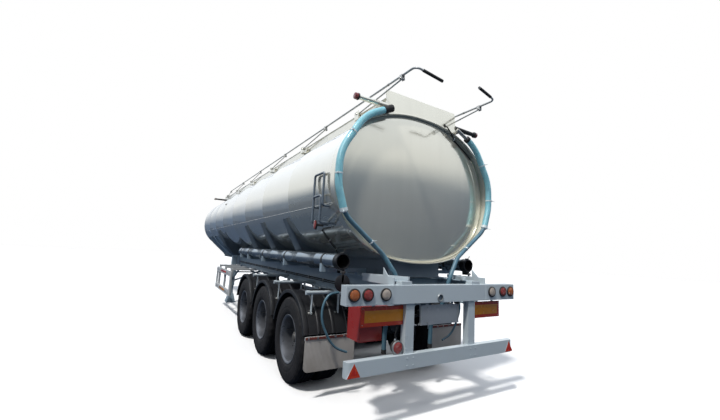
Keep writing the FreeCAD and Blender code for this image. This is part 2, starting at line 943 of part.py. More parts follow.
def spring(station, side):
    y0 = side * beam_y - spring_width * half
    y1 = side * beam_y + spring_width * half
    reaches = [spring_half_length - index * spring_step for index in range(spring_leaf_count)]
    upper = [(reach, spring_curve(reach)) for reach in reaches]
    lower = []
    for index, reach in enumerate(reaches):
        drop = (index + left) * spring_leaf
        lower.append((reach, spring_curve(reach) - drop))
        if index + left < spring_leaf_count:
            inner = reaches[index + left]
            lower.append((inner, spring_curve(inner) - drop))
    outline = [(-x, z) for x, z in upper] + [(0, spring_curve(0))] + list(reversed(upper))
    outline += lower + [(-x, z) for x, z in reversed(lower)]
    pieces = [profile_prism_y([(X(station) + x, z) for x, z in outline], y0, y1)]
    seat_foot = wheel_height
    pieces.append(box(X(station) - ubolt_offset, X(station) + ubolt_offset, y0, y1, seat_foot, spring_foot))
    clamp_top = spring_foot + spring_leaf_count * spring_leaf
    pieces.append(box(X(station) - ubolt_offset - ubolt_radius, X(station) + ubolt_offset + ubolt_radius,
                      y0, y1, clamp_top - ubolt_radius, clamp_top + ubolt_radius))
    for end in sides:
        for cheek in sides:
            x = X(station) + end * ubolt_offset
            y = side * beam_y + cheek * (spring_width * half - ubolt_radius)
            pieces.append(rod(V(x, y, wheel_height - axle_tube_radius - ubolt_offset * half),
                              V(x, y, clamp_top + ubolt_radius + ubolt_radius), ubolt_radius))
    return join(pieces).cut(across(X(station), -hub_end_y, hub_end_y, wheel_height, axle_tube_radius))


for station in axle_stations:
    for side in sides:
        spring_parts.append(spring(station, side))
for station in hanger_stations:
    for side in sides:
        rocker = box(X(station) - rocker_length * half, X(station) + rocker_length * half,
                     side * beam_y - rocker_width * half, side * beam_y + rocker_width * half,
                     rocker_pin_height - rocker_height * half, rocker_pin_height + rocker_height * half)
        spring_parts.append(rocker.cut(across(X(station), side * beam_y - spring_width,
                                              side * beam_y + spring_width, rocker_pin_height,
                                              rocker_pin_radius)))
save("leaf_springs", group(spring_parts))

# Axles with spindles, brake spiders and chambers
axle_parts = []
for station in axle_stations:
    pieces = [across(X(station), -axle_tube_half_length, axle_tube_half_length, wheel_height, axle_tube_radius)]
    pieces.append(across(X(station), -spindle_end_y, spindle_end_y, wheel_height, spindle_radius))
    for side in sides:
        pieces.append(across(X(station), side * spider_y, side * (spider_y + spider_width),
                             wheel_height, spider_radius))
        cam_x = X(station) - brake_chamber_offset * half
        cam_z = wheel_height + brake_chamber_rise
        pieces.append(across(cam_x, side * brake_chamber_y, side * (spider_y + spider_width),
                             cam_z, camshaft_radius))
        pieces.append(box(cam_x - camshaft_radius, X(station), side * (brake_chamber_y + brake_chamber_radius),
                          side * (brake_chamber_y + brake_chamber_radius + camshaft_radius),
                          wheel_height, cam_z))
        pieces.append(along(cam_x - camshaft_radius, cam_x - camshaft_radius - brake_chamber_length,
                            side * brake_chamber_y, cam_z + camshaft_radius, brake_chamber_radius))
    axle_parts.append(join(pieces))
save("axles", group(axle_parts))

# Wheels: twin tyres and their rims turn together on each spindle end
def tyre(station, y):
    upper = [(y + offset, radius) for offset, radius in tyre_outline]
    lower = [(y - offset, radius) for offset, radius in reversed(tyre_outline)]
    corners = [V(X(station), py, wheel_height + radius) for py, radius in upper + lower]
    corners.append(corners[0])
    face = Part.Face(Part.makePolygon(corners))
    return face.revolve(V(X(station), 0, wheel_height), V(0, left, 0), full_turn)


def ring(station, y0, y1, outer, inner):
    tall = across(X(station), y0, y1, wheel_height, outer)
    return tall.cut(across(X(station), y0, y1, wheel_height, inner))


def rims(station):
    pieces = []
    for y in tyre_centres:
        pieces.append(ring(station, y - rim_half_width - rim_gap, y + rim_half_width + rim_gap,
                           rim_seat_radius - rim_gap, rim_inner_radius))
        for cheek in sides:
            inner = y + cheek * (rim_half_width + rim_gap)
            outer = inner + cheek * rim_flange_width
            pieces.append(ring(station, min(inner, outer), max(inner, outer), rim_flange_radius,
                               rim_inner_radius))
    pieces.append(ring(station, tyre_centres[left] + rim_half_width, tyre_centres[0] - rim_half_width,
                       rim_seat_radius - rim_gap, rim_inner_radius))
    disc = across(X(station), disc_y - disc_thickness * half, disc_y + disc_thickness * half,
                  wheel_height, disc_outer_radius)
    holes = []
    for index in range(hand_hole_count):
        angle = math.radians(full_turn * index / hand_hole_count)
        holes.append(across(X(station) + hand_hole_circle * math.cos(angle),
                            disc_y - disc_thickness, disc_y + disc_thickness,
                            wheel_height + hand_hole_circle * math.sin(angle), hand_hole_radius))
    pieces.append(disc.cut(holes))
    pieces.append(across(X(station), disc_y, disc_y + hub_flange_width, wheel_height, hub_flange_radius))
    pieces.append(across(X(station), disc_y, hub_end_y, wheel_height, hub_radius))
    pieces.append(across(X(station), hub_end_y, hub_cap_end_y, wheel_height, hub_cap_radius))
    pieces.append(ring(station, drum_inner_y, disc_y, drum_radius, drum_radius - drum_wall))
    pieces.append(ring(station, disc_y - hub_flange_width, disc_y, drum_radius, hub_radius))
    bore = across(X(station), drum_inner_y, spindle_end_y + spindle_clearance, wheel_height,
                  spindle_radius + spindle_clearance)
    return join(pieces).cut(bore)


axle_names = ("rear", "middle", "front")
for station, axle_name in zip(axle_stations, axle_names):
    left_tyres = group([tyre(station, y) for y in tyre_centres])
    left_rims = rims(station)
    save("tyres_" + axle_name + "_left", left_tyres)
    save("tyres_" + axle_name + "_right", mirror(left_tyres))
    save("rims_" + axle_name + "_left", left_rims)
    save("rims_" + axle_name + "_right", mirror(left_rims))

# Mudguards: ribbed arcs over each pair of tyres
def arc_shell(station, y0, y1, inner, outer):
    start = math.radians(guard_start_angle)
    end = math.radians(guard_end_angle)
    middle = (start + end) * half

    def at(radius, angle):
        return V(X(station) + radius * math.cos(angle), y0, wheel_height + radius * math.sin(angle))

    outer_arc = Part.Arc(at(outer, start), at(outer, middle), at(outer, end)).toShape()
    inner_arc = Part.Arc(at(inner, start), at(inner, middle), at(inner, end)).toShape()
    wire = Part.Wire([outer_arc, Part.makeLine(at(outer, end), at(inner, end)), inner_arc,
                      Part.makeLine(at(inner, start), at(outer, start))])
    return Part.Face(wire).extrude(V(0, y1 - y0, 0))


guard_parts = []
for station in axle_stations:
    outer_radius = guard_radius + guard_skin
    pieces = [arc_shell(station, guard_inner_y, guard_outer_y, guard_radius, outer_radius)]
    pieces.append(arc_shell(station, guard_outer_y - guard_skin, guard_outer_y, guard_radius - guard_lip,
                            outer_radius))
    rib_spacing = (guard_outer_y - guard_inner_y - guard_rib_width) / (guard_rib_count - left)
    for index in range(guard_rib_count):
        y = guard_inner_y + index * rib_spacing
        pieces.append(arc_shell(station, y, y + guard_rib_width, guard_radius, outer_radius + guard_rib_rise))
    guard_parts += both(join(pieces))
save("mudguards", group(guard_parts))

# Tubular arms that carry the mudguards
arm_root_y = beam_y
arm_parts = []
for station in axle_stations:
    x = X(station - guard_arm_offset)
    pieces = [across(x, arm_root_y, guard_arm_end_y, guard_arm_height, guard_arm_radius)]
    pieces.append(across(x, guard_arm_end_y - guard_arm_cap_length, guard_arm_end_y, guard_arm_height,
                         guard_arm_cap_radius))
    link_foot = wheel_height + math.sqrt(guard_radius * guard_radius - guard_arm_offset * guard_arm_offset)
    for y in guard_link_ys:
        pieces.append(box(x - guard_link_width * half, x + guard_link_width * half,
                          y, y + guard_link_thickness, link_foot, guard_arm_height))
    body = join(pieces)
    body = body.cut(across(X(station), 0, guard_outer_y, wheel_height, guard_radius + guard_skin + seat_gap))
    arm_parts += both(body.cut([chassis] + guard_parts))


# Mudflaps behind the rear wheels, hung from a bar with a strip over the top edge
def flap():
    y0 = flap_inner_y
    y1 = flap_outer_y
    r = flap_corner_radius
    z0 = flap_foot_height
    x = X(flap_station)
    face_edges = Part.makePolygon([
        V(x, y0, flap_top_height), V(x, y0, z0 + r), V(x, y0 + r, z0),
        V(x, y1 - r, z0), V(x, y1, z0 + r), V(x, y1, flap_top_height), V(x, y0, flap_top_height),
    ])
    sheet = Part.Face(face_edges).extrude(V(flap_thickness, 0, 0))
    strip = box(x - flap_strip_thickness, x, y0, y1, flap_top_height - flap_strip_height, flap_top_height)
    return join([sheet, strip])


save("mudflaps", group(both(flap())))
flap_stay_y = beam_y + spring_width * half + hanger_thickness + seat_gap
flap_bar = box(X(flap_station) + flap_thickness, X(flap_station) + flap_thickness + flap_bar_thickness,
               flap_stay_y, flap_outer_y, flap_top_height - flap_bar_height, flap_top_height)
flap_stay = box(X(flap_station) + flap_thickness, X(flap_station) + flap_thickness + flap_bar_thickness,
                flap_stay_y, flap_stay_y + flap_stay_width, flap_top_height - flap_bar_height, beam_foot_height)
flap_bars = [piece.cut(chassis) for piece in both(join([flap_bar, flap_stay]))]

# Hose tubes with bands, arms and lids
hose_hinge_height = hose_tube_height - hose_hinge_drop
hose_hinge_x = X(hose_tube_rear_station) - hose_lid_gap - hose_lid_thickness * half
hinge_lug_y = hose_hinge_eye_width * half + hose_hinge_lug_gap


def hose_tube():
    y = hose_tube_y
    z = hose_tube_height
    outer = along(X(hose_tube_rear_station), X(hose_tube_front_station), y, z, hose_tube_radius)
    collar = along(X(hose_tube_rear_station), X(hose_tube_rear_station + hose_tube_collar_length), y, z,
                   hose_tube_collar_radius)
    pieces = [outer, collar]
    for station in hose_tube_band_stations:
        pieces.append(along(X(station), X(station + hose_tube_band_width), y, z,
                            hose_tube_radius + hose_tube_band_thickness))
    for cheek in sides:
        inner = y + cheek * hinge_lug_y
        lug_front = X(hose_tube_rear_station + hose_tube_collar_length)
        lug_foot = hose_hinge_height - hose_hinge_eye_radius
        pieces.append(box(hose_hinge_x - hose_hinge_eye_radius, lug_front,
                          inner, inner + cheek * hose_hinge_lug,
                          lug_foot, hose_hinge_height + hose_hinge_eye_radius))
        pieces.append(box(X(hose_tube_rear_station), lug_front,
                          inner, inner + cheek * hose_hinge_lug,
                          lug_foot, hose_tube_height - hose_tube_radius))
    pieces.append(across(hose_hinge_x, y - hinge_lug_y - hose_hinge_lug, y + hinge_lug_y + hose_hinge_lug,
                         hose_hinge_height, hose_hinge_radius))
    bore = along(X(hose_tube_rear_station), X(hose_tube_front_station) - hose_tube_wall, y, z,
                 hose_tube_radius - hose_tube_wall)
    return join(pieces).cut(bore)


def hose_lid():
    y = hose_tube_y
    closed_x0 = X(hose_tube_rear_station) - hose_lid_gap - hose_lid_thickness
    centre_z = hose_hinge_height - hose_hinge_drop
    disc = along(closed_x0, closed_x0 + hose_lid_thickness, y, centre_z, hose_lid_radius)
    strap = box(closed_x0, closed_x0 + hose_lid_thickness, y - hose_hinge_eye_width * half,
                y + hose_hinge_eye_width * half, centre_z, hose_hinge_height)
    eye = across(hose_hinge_x, y - hose_hinge_eye_width * half, y + hose_hinge_eye_width * half,
                 hose_hinge_height, hose_hinge_eye_radius)
    hole = across(hose_hinge_x, y - hose_hinge_eye_width, y + hose_hinge_eye_width,
                  hose_hinge_height, hose_hinge_radius + hose_hinge_clearance)
    return join([disc, strap, eye]).cut(hole)


one_tube = hose_tube()
save("hose_tubes", group(both(one_tube)))
one_lid = hose_lid()
save("hose_tube_lid_left", one_lid)
save("hose_tube_lid_right", mirror(one_lid))
hose_arm_parts = []
hose_arm_top = hose_tube_height - hose_tube_radius - hose_tube_band_thickness
for station in hose_arm_stations:
    x0 = X(station) - (hose_arm_width - hose_tube_band_width) * half
    arm = box(x0, x0 + hose_arm_width, beam_y - beam_width * half, hose_tube_y + hose_tube_radius,
              hose_arm_top - hose_arm_height, hose_arm_top)
    foot = box(x0, x0 + hose_arm_width, beam_y - beam_width * half, beam_y + beam_width * half,
               beam_top_height, hose_arm_top)
    cradle = box(x0, x0 + hose_arm_width, hose_tube_y - hose_tube_radius, hose_tube_y + hose_tube_radius,
                 hose_arm_top, hose_tube_height - hose_tube_radius * half)
    piece = join([arm, foot, cradle])
    piece = piece.cut([tank_block, one_tube, saddles])
    piece = piece.cut(along(X(hose_tube_rear_station), X(hose_tube_front_station), hose_tube_y,
                            hose_tube_height, hose_tube_radius + hose_tube_band_thickness))
    hose_arm_parts += both(piece)
save("hose_tube_arms", group(hose_arm_parts))

# Landing gear, extended to the ground
leg_y = beam_y + beam_width * half + leg_gap + leg_width * half


def leg():
    x = X(leg_station)
    y = leg_y
    outer = box(x - leg_width * half, x + leg_width * half, y - leg_width * half, y + leg_width * half,
                leg_bottom_height, leg_top_height)
    inner = box(x - inner_leg_width * half, x + inner_leg_width * half, y - inner_leg_width * half,
                y + inner_leg_width * half, foot_height * half, leg_bottom_height)
    plate = box(x - foot_length * half, x + foot_length * half, y - foot_width * half,
                y + foot_width * half, 0, foot_plate)
    base = Part.makePolygon([
        V(x - foot_length * half, y - foot_width * half, foot_plate),
        V(x + foot_length * half, y - foot_width * half, foot_plate),
        V(x + foot_length * half, y + foot_width * half, foot_plate),
        V(x - foot_length * half, y + foot_width * half, foot_plate),
        V(x - foot_length * half, y - foot_width * half, foot_plate),
    ])
    neck = Part.makePolygon([
        V(x - foot_neck_length * half, y - foot_neck_width * half, foot_height),
        V(x + foot_neck_length * half, y - foot_neck_width * half, foot_height),
        V(x + foot_neck_length * half, y + foot_neck_width * half, foot_height),
        V(x - foot_neck_length * half, y + foot_neck_width * half, foot_height),
        V(x - foot_neck_length * half, y - foot_neck_width * half, foot_height),
    ])
    cone = Part.makeLoft([base, neck], True, True)
    mount = box(x - leg_mount_width * half, x + leg_mount_width * half, beam_y + beam_width * half,
                y - leg_width * half, leg_top_height - leg_mount_height, leg_top_height)
    brace = bar((x, y, leg_brace_height + leg_brace_width),
                (x - leg_brace_run, beam_y + beam_width * half + leg_brace_width * half,
                 beam_foot_height + leg_brace_width), leg_brace_width, leg_brace_width * half)
    return join([outer, inner, plate, cone, mount, brace])


gear_parts = both(leg())
gear_parts.append(across(X(leg_station), -leg_y, leg_y, cross_shaft_height, cross_shaft_radius))
outer_face = leg_y + leg_width * half
gear_parts.append(box(X(leg_station) - gearbox_width * half, X(leg_station) + gearbox_width * half,
                      -outer_face, -outer_face - gearbox_depth,
                      cross_shaft_height - gearbox_height * half, cross_shaft_height + gearbox_height * half))
gear_parts.append(tube([
    (X(leg_station), -outer_face - gearbox_depth * half, cross_shaft_height),
    (X(leg_station), -outer_face - gearbox_depth - crank_reach * half, cross_shaft_height),
    (X(leg_station), -outer_face - gearbox_depth - crank_reach * half, cross_shaft_height - crank_drop),
    (X(leg_station), -outer_face - gearbox_depth - crank_reach, cross_shaft_height - crank_drop),
], crank_radius, crank_radius + crank_radius))
for side in sides:
    gear_parts.append(bar((X(leg_station), side * leg_y, leg_brace_height),
                          (X(leg_station), -side * beam_y, beam_foot_height - leg_brace_width * half),
                          leg_brace_width, leg_brace_width * half))
landing_gear = join(gear_parts).cut(chassis)
save("landing_gear", landing_gear)

# Side guards ahead of the wheels
x0 = X(side_guard_rear_station)
x1 = X(side_guard_front_station)
y0 = side_guard_y
y1 = side_guard_y - side_guard_depth
frame_pieces = [
    box(x0, x1, y0, y1, side_guard_top_height - side_guard_board, side_guard_top_height),
    box(x0, x1, y0, y1, side_guard_foot_height, side_guard_foot_height + side_guard_board),
    box(x1 - side_guard_board, x1, y0, y1, side_guard_foot_height, side_guard_top_height),
    box(x0, x0 + side_guard_board, y0, y1, side_guard_foot_height, side_guard_top_height),
]
for station in side_guard_arm_stations:
    x = X(station)
    frame_pieces.append(box(x - side_guard_arm * half, x + side_guard_arm * half, beam_y, y1,
                            side_guard_arm_height - side_guard_arm, side_guard_arm_height))
    frame_pieces.append(box(x - side_guard_arm * half, x + side_guard_arm * half, y1 - side_guard_arm, y1,
                            side_guard_foot_height, side_guard_arm_height))
frame = join(frame_pieces).cut([chassis, landing_gear])
save("side_guards", group(both(frame)))

# Rear lamp beam: channel, lamp panels and braces to the chassis
web = box(X(0), X(lamp_beam_wall), -lamp_beam_half_width, lamp_beam_half_width,
          lamp_beam_foot_height, lamp_beam_top_height)
hole = along(X(0) - lamp_beam_wall, X(lamp_beam_wall) + lamp_beam_wall, beam_hole_y, beam_hole_height,
             beam_hole_radius)
beam_pieces = [
    web.cut(hole),
    box(X(0), X(lamp_beam_depth), -lamp_beam_half_width, lamp_beam_half_width,
        lamp_beam_top_height - lamp_beam_wall, lamp_beam_top_height),
    box(X(0), X(lamp_beam_depth), -lamp_beam_half_width, lamp_beam_half_width,
        lamp_beam_foot_height, lamp_beam_foot_height + lamp_beam_wall),
]
for side in sides:
    beam_pieces.append(box(X(0), X(lamp_beam_depth), side * lamp_beam_half_width,
                           side * (lamp_beam_half_width - lamp_beam_wall),
                           lamp_beam_foot_height, lamp_beam_top_height))
    beam_pieces.append(box(X(0) - lamp_panel_thickness, X(0), side * lamp_panel_inner_y,
                           side * lamp_beam_half_width, lamp_beam_foot_height, lamp_beam_top_height))
    beam_pieces.append(bar((X(beam_brace_rear_station), side * beam_brace_inner_y,
                            beam_top_height + beam_brace_width * half),
                           (X(beam_brace_front_station), side * beam_brace_outer_y,
                            beam_top_height + beam_brace_width * half),
                           beam_brace_width, beam_brace_width))
    beam_pieces.append(box(X(lamp_beam_wall), X(lamp_beam_depth), side * (beam_y - beam_width * half),
                           side * (beam_y + beam_width * half),
                           lamp_beam_foot_height, beam_top_height))
    beam_pieces.append(profile_prism_y([
        (X(lamp_beam_wall), lamp_beam_top_height - lamp_beam_wall),
        (X(beam_brace_rear_station + lamp_beam_depth), beam_top_height),
        (X(beam_brace_rear_station + lamp_beam_depth), beam_top_height + beam_gusset_height),
    ], side * (beam_brace_outer_y - lamp_beam_wall), side * beam_brace_outer_y))
    beam_pieces.append(box(X(lamp_beam_wall), X(beam_brace_front_station),
                           side * (beam_brace_outer_y - lamp_beam_wall), side * beam_brace_outer_y,
                           lamp_beam_top_height - lamp_beam_wall, beam_top_height + beam_brace_width))
lamp_beam = join(beam_pieces).cut([chassis, saddles])
save("lamp_beam", lamp_beam)

# Rear lamps on the beam, the fog lamp and the small plate lamp
lamp_parts = []
for side in sides:
    for y in lamp_ys:
        face_x = X(0) - lamp_panel_thickness
        body = along(face_x - lamp_depth, face_x, side * y, lamp_height, lamp_radius - lamp_ring)
        bezel = along(face_x - lamp_ring_depth, face_x, side * y, lamp_height, lamp_radius)
        lamp_parts.append(join([body, bezel]))
fog = along(X(fog_lamp_station) - fog_lamp_depth, X(fog_lamp_station), fog_lamp_y, fog_lamp_height,
            fog_lamp_radius)
fog_bracket = box(X(fog_lamp_station), X(fog_lamp_station) + fog_bracket_thickness,
                  bumper_post_y + bumper_post_width * half, fog_lamp_y + fog_bracket_width,
                  fog_lamp_height - fog_bracket_width * half, fog_lamp_height + fog_bracket_width * half)
lamp_parts.append(join([fog, fog_bracket]))
plate_lamp_rear = X(number_plate_station) - plate_lamp_size * half
lamp_parts.append(box(plate_lamp_rear, plate_lamp_rear + plate_lamp_size,
                      -plate_lamp_y - plate_lamp_size * half, -plate_lamp_y + plate_lamp_size * half,
                      lamp_beam_foot_height - plate_lamp_depth, lamp_beam_foot_height))
save("rear_lamps", group(lamp_parts))

# Bumper with posts to the lamp beam and warning triangles
bumper_outer = box(X(0) - lamp_beam_wall, X(bumper_depth), -bumper_half_width, bumper_half_width,
                   bumper_foot_height, bumper_top_height)
corner_edges = []
for edge in bumper_outer.Edges:
    first, last = edge.Vertexes
    level_run = abs(first.X - last.X) + abs(first.Y - last.Y)
    if level_run < bumper_wall and first.X < X(0):
        corner_edges.append(edge)
bumper_outer = bumper_outer.makeFillet(bumper_corner_radius, corner_edges)
bumper_pieces = [bumper_outer]
for side in sides:
    y0 = side * bumper_post_y - bumper_post_width * half
    y1 = side * bumper_post_y + bumper_post_width * half
    bumper_pieces.append(box(X(lamp_beam_wall + bumper_wall), X(bumper_post_depth + bumper_wall), y0, y1,
                             bumper_top_height - bumper_wall, lamp_beam_foot_height))
    bumper_pieces.append(profile_prism_x([
        (side * (triangle_y - triangle_half_base), bumper_foot_height + bumper_wall),
        (side * (triangle_y + triangle_half_base), bumper_foot_height + bumper_wall),
        (side * triangle_y, bumper_foot_height + bumper_wall + triangle_height),
    ], X(0) - lamp_beam_wall - triangle_thickness, X(0)))
bumper = join(bumper_pieces).cut([chassis, lamp_beam])
save("bumper", bumper)

# Marking plates and the bare number plate under the beam
plate_parts = []
for side in sides:
    outer = side * marking_outer_y
    inner = side * (marking_outer_y - marking_width)
    plate = box(X(marking_station), X(marking_station) + marking_thickness, outer, inner,
                marking_foot_height, marking_foot_height + marking_height)
    straps = []
    for y in (outer - side * marking_width / (left + left + left + left),
              inner + side * marking_width / (left + left + left + left)):
        straps.append(box(X(marking_station) + marking_thickness,
                          X(marking_station) + marking_thickness + marking_thickness,
                          y - marking_strap_width * half, y + marking_strap_width * half,
                          marking_foot_height, lamp_beam_foot_height))
    plate_parts.append(join([plate] + straps))
number_top = number_plate_foot_height + number_plate_height
number_pieces = [box(X(number_plate_station), X(number_plate_station) + number_plate_thickness,
                     -number_plate_half_width, number_plate_half_width,
                     number_plate_foot_height, number_top)]
for side in sides:
    number_pieces.append(box(X(number_plate_station) - number_flange * half,
                             X(number_plate_station) + number_flange,
                             side * number_plate_half_width,
                             side * (number_plate_half_width + number_plate_thickness),
                             number_plate_foot_height, number_top))
    number_pieces.append(box(X(number_plate_station) + number_plate_thickness,
                             X(number_plate_station) + number_plate_thickness + number_plate_thickness,
                             side * number_strap_y - marking_strap_width * half,
                             side * number_strap_y + marking_strap_width * half,
                             number_plate_foot_height, lamp_beam_foot_height))
plate_parts.append(join(number_pieces))
save("rear_plates", group([piece.cut([bumper, lamp_beam]) for piece in plate_parts]))

# Red extinguisher box behind the left marking plate, on a bracket from the lamp beam
case = box(X(box_rear_station), X(box_front_station), box_inner_y, box_outer_y, box_foot_height, box_top_height)
case_bracket = box(X(box_rear_station), X(box_front_station), beam_y + beam_width * half,
                   box_inner_y, box_top_height - box_bracket_height, box_top_height)
case_hanger = box(X(box_rear_station), X(box_front_station), beam_y + beam_width * half - box_bracket_thickness,
                  beam_y + beam_width * half, box_top_height - box_bracket_height, beam_foot_height)
save("extinguisher_box", join([case, case_bracket, case_hanger]).cut([bumper, chassis]))

# Drain hoses tied along the rear rim, each with a thinner hose down past the chassis
drain_x = X(tank_rear_station) - drain_radius - drain_lip_gap
drain_points = [(drain_x, y, z) for y, z in drain_route]
tail_points = [(drain_x, y, z) for y, z in drain_tail_ring]
tail_points += [(X(station), y, z) for station, y, z in drain_tail_foot]
drain_tail_pipe = tube(tail_points, drain_tail_radius, drain_tail_bend)
tie_front_x = X(tank_rear_station)
tie_rear_x = drain_x + drain_radius - tie_bite
tie_parts = []
for angle, tie_length in ties:
    edge_y, edge_z = section_point(angle, rim_thickness * half)
    inner_y, inner_z = section_point(angle, rim_thickness * half + tie_length)
    tie_run = V(0, edge_y - inner_y, edge_z - inner_z)
    tie_piece = Part.makeBox(tie_front_x - tie_rear_x, tie_run.Length, tie_strap, V(0, 0, -tie_strap * half))
    tie_piece.Placement = FreeCAD.Placement(V(tie_rear_x, inner_y, inner_z),
                                            FreeCAD.Rotation(V(0, left, 0), tie_run))
    tie_parts.append(tie_piece)
strap_foot = tail_points[-left - left]
drain_strap = bar((X(drain_strap_top[0]), drain_strap_top[left], drain_strap_top[-left]),
                  (strap_foot[0], strap_foot[left] + drain_tail_radius * half, strap_foot[-left]),
                  drain_strap_width, drain_strap_thickness)


def drain_hose(points, sleeve_length, extra):
    start = V(*points[0])
    run = V(*points[left]) - start
    run.normalize()
    sleeve = rod(start, start + run * sleeve_length, drain_radius + drain_sleeve_skin)
    spigot = along(drain_x, X(spigot_station), drain_route[0][0] + spigot_radius,
                   drain_route[0][left] - spigot_radius, spigot_radius)
    body = join([tube(points, drain_radius, drain_bend), sleeve, spigot, drain_tail_pipe, drain_strap]
                + tie_parts + extra)
    return body.cut([tank_block, chassis, saddles, lamp_beam, coaming])


drain_left = drain_hose(drain_points, drain_sleeve_length, [])
right_start = (drain_x, drain_right_start[0], drain_right_start[left])
right_run = V(*drain_points[left]) - V(*right_start)
right_run.normalize()
right_pipe = rod(V(*drain_points[0]), V(*right_start) + right_run * spigot_overlap, spigot_radius)
drain_right = drain_hose([right_start] + drain_points[left:], drain_right_sleeve_length, [right_pipe])
save("drain_hoses", group([drain_left, mirror(drain_right)]))

# Thin free drain hoses at the rear mudguards
free_points = [(X(x), y, z) for y, z, x in free_hose_route]
free_hose = tube(free_points, free_hose_radius, free_hose_bend)
save("free_hose_left", free_hose)
save("free_hose_right", mirror(free_hose))
tail = rod(V(X(free_hose_route[0][-left]), free_hose_route[0][0] - free_hose_tail_length,
             free_hose_route[0][left]),
           V(X(free_hose_route[0][-left]), free_hose_route[0][0], free_hose_route[0][left]),
           free_hose_tail_radius + free_hose_tail_radius)
tail_bar = box(X(free_hose_route[0][-left]) - free_hose_tail_radius,
               X(free_hose_route[0][-left]) + free_hose_tail_radius,
               beam_y, free_hose_route[0][0] - free_hose_tail_length * half,
               free_hose_route[0][left] - free_hose_tail_radius,
               free_hose_route[0][left] + free_hose_tail_radius)
tails = [piece.cut(chassis) for piece in both(join([tail, tail_bar]))]
save("guard_arms", group(arm_parts + flap_bars + tails))

# Grab tubes on the left flank
grab_parts = []
for front, rear, top, foot in grab_loops:
    grab_parts.append(tube([
        (X(front), flank_y(foot) - grab_stand, foot),
        (X(front), tank_half_width + grab_stand, foot),
        (X(front), tank_half_width + grab_stand, top),
        (X(rear), tank_half_width + grab_stand, top),
        (X(rear), tank_half_width + grab_stand, foot),
        (X(rear), flank_y(foot) - grab_stand, foot),
    ], grab_radius, grab_bend * half).cut(tank_block))
save("grab_tubes", group(grab_parts))

# Marker lamps on stalks and on the left and right flanks
marker_parts = []
for station in (marker_stalk_station, front_marker_station):
    pieces = [
        across(X(station), coaming_y - marker_root_inset, marker_stalk_end_y, marker_stalk_height,
               marker_stalk_radius),
        across(X(station), marker_stalk_end_y, marker_stalk_end_y + marker_lamp_length, marker_stalk_height,
               marker_lamp_radius),
    ]
    marker_parts += [piece.cut([tank, coaming]) for piece in both(join(pieces))]
side_lamp = join([
    box(X(side_marker_station) - side_marker_width * half, X(side_marker_station) + side_marker_width * half,
        side_marker_y, side_marker_y + side_marker_depth,
        side_marker_height - side_marker_tall * half, side_marker_height + side_marker_tall * half),
    box(X(side_marker_station) - side_marker_arm * half, X(side_marker_station) + side_marker_arm * half,
        side_marker_root_y, side_marker_y + side_marker_arm,
        side_marker_height - side_marker_arm * half, side_marker_height + side_marker_arm * half),
]).cut(tank_block)
marker_parts += both(side_lamp)
save("marker_lamps", group(marker_parts))

# Clipped cables: over the rear head, down the left flank, behind the plates and to the fog lamp
def head_station(y, z):
    rise = z - tank_centre_height
    return tank_rear_station - dish_overhang + (y * y + rise * rise) / (dish_radius + dish_radius)


cable_stand = cable_radius + cable_lift
head_points = [(X(station), y, z) for station, y, z in head_cable_start]
head_stand = head_cable_radius + cable_lift
head_points += [(X(head_station(y, z) - head_stand), y, z) for y, z in head_cable_route]
head_cable = tube(head_points, head_cable_radius, cable_bend)
flank_points = []
for station, angle in flank_cable_route:
    y, z = section_point(angle, -cable_stand)
    flank_points.append((X(station), y, z))
flank_points.append((X(flank_cable_foot[0]), flank_cable_foot[left], beam_top_height))
flank_cable = tube(flank_points, cable_radius, cable_bend)
plate_loop = tube([(X(plate_loop_station), y, z) for y, z in plate_loop_route], plate_loop_radius, plate_loop_bend)
loop_hook = rod(V(X(plate_loop_station), plate_loop_route[0][0], plate_loop_route[0][left]),
                V(X(plate_loop_station), plate_loop_route[0][0], lamp_beam_foot_height), plate_loop_radius)
fog_cable = tube([(X(station), y, z) for station, y, z in fog_cable_route], cable_radius, cable_bend)
save("cables", group([
    head_cable.cut(coaming),
    flank_cable.cut([chassis, group(marker_parts)]),
    join([plate_loop, loop_hook]).cut([lamp_beam, group(plate_parts)]),
    fog_cable.cut([chassis, group(lamp_parts)]),
]))

# Brake air tanks slung between the beams
air_parts = []
for side in sides:
    y = side * air_tank_y
    body = along(X(air_tank_station), X(air_tank_station + air_tank_length), y, air_tank_height, air_tank_radius)
    straps = []
    for share in (half * half, left - half * half):
        x = X(air_tank_station + air_tank_length * share)
        straps.append(box(x, x + air_strap_width, y - air_strap_width * half, y + air_strap_width * half,
                          air_tank_height, cross_top))
        straps.append(box(x, x + air_strap_width, y, side * beam_y,
                          beam_foot_height + beam_flange, beam_foot_height + beam_flange + air_strap_thickness))
    air_parts.append(join([body] + straps).cut(chassis))
save("air_tanks", group(air_parts))

# Discharge pipes to the right side
outlet_parts = []
for station in outlet_stations:
    x = X(station)
    pipe = tube([
        (x, outlet_y, outlet_top_height),
        (x, outlet_y, outlet_height),
        (x, outlet_end_y, outlet_height),
    ], outlet_radius, outlet_bend)
    valve = across(x, outlet_end_y + outlet_valve_width, outlet_end_y, outlet_height, outlet_valve_radius)
    flange = across(x, outlet_end_y, outlet_end_y - outlet_flange_width, outlet_height, outlet_flange_radius)
    bore = across(x, outlet_end_y - outlet_flange_width, outlet_end_y + outlet_flange_width, outlet_height,
                  outlet_bore_radius)
    body = join([pipe, valve, flange]).cut(bore)
    outlet_parts.append(body)
outlet_strip = box(X(outlet_stations[0]) - outlet_radius, X(outlet_stations[-left]) + outlet_radius,
                   -beam_y - beam_width * half - outlet_flange_width, -beam_y - beam_width * half,
                   outlet_height, beam_foot_height)
outlets = join(outlet_parts + [outlet_strip])
save("outlet_pipes", outlets.cut([tank_block, chassis, group(air_parts)]))
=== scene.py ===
import bmesh
import bpy
import math
from mathutils import Matrix, Vector


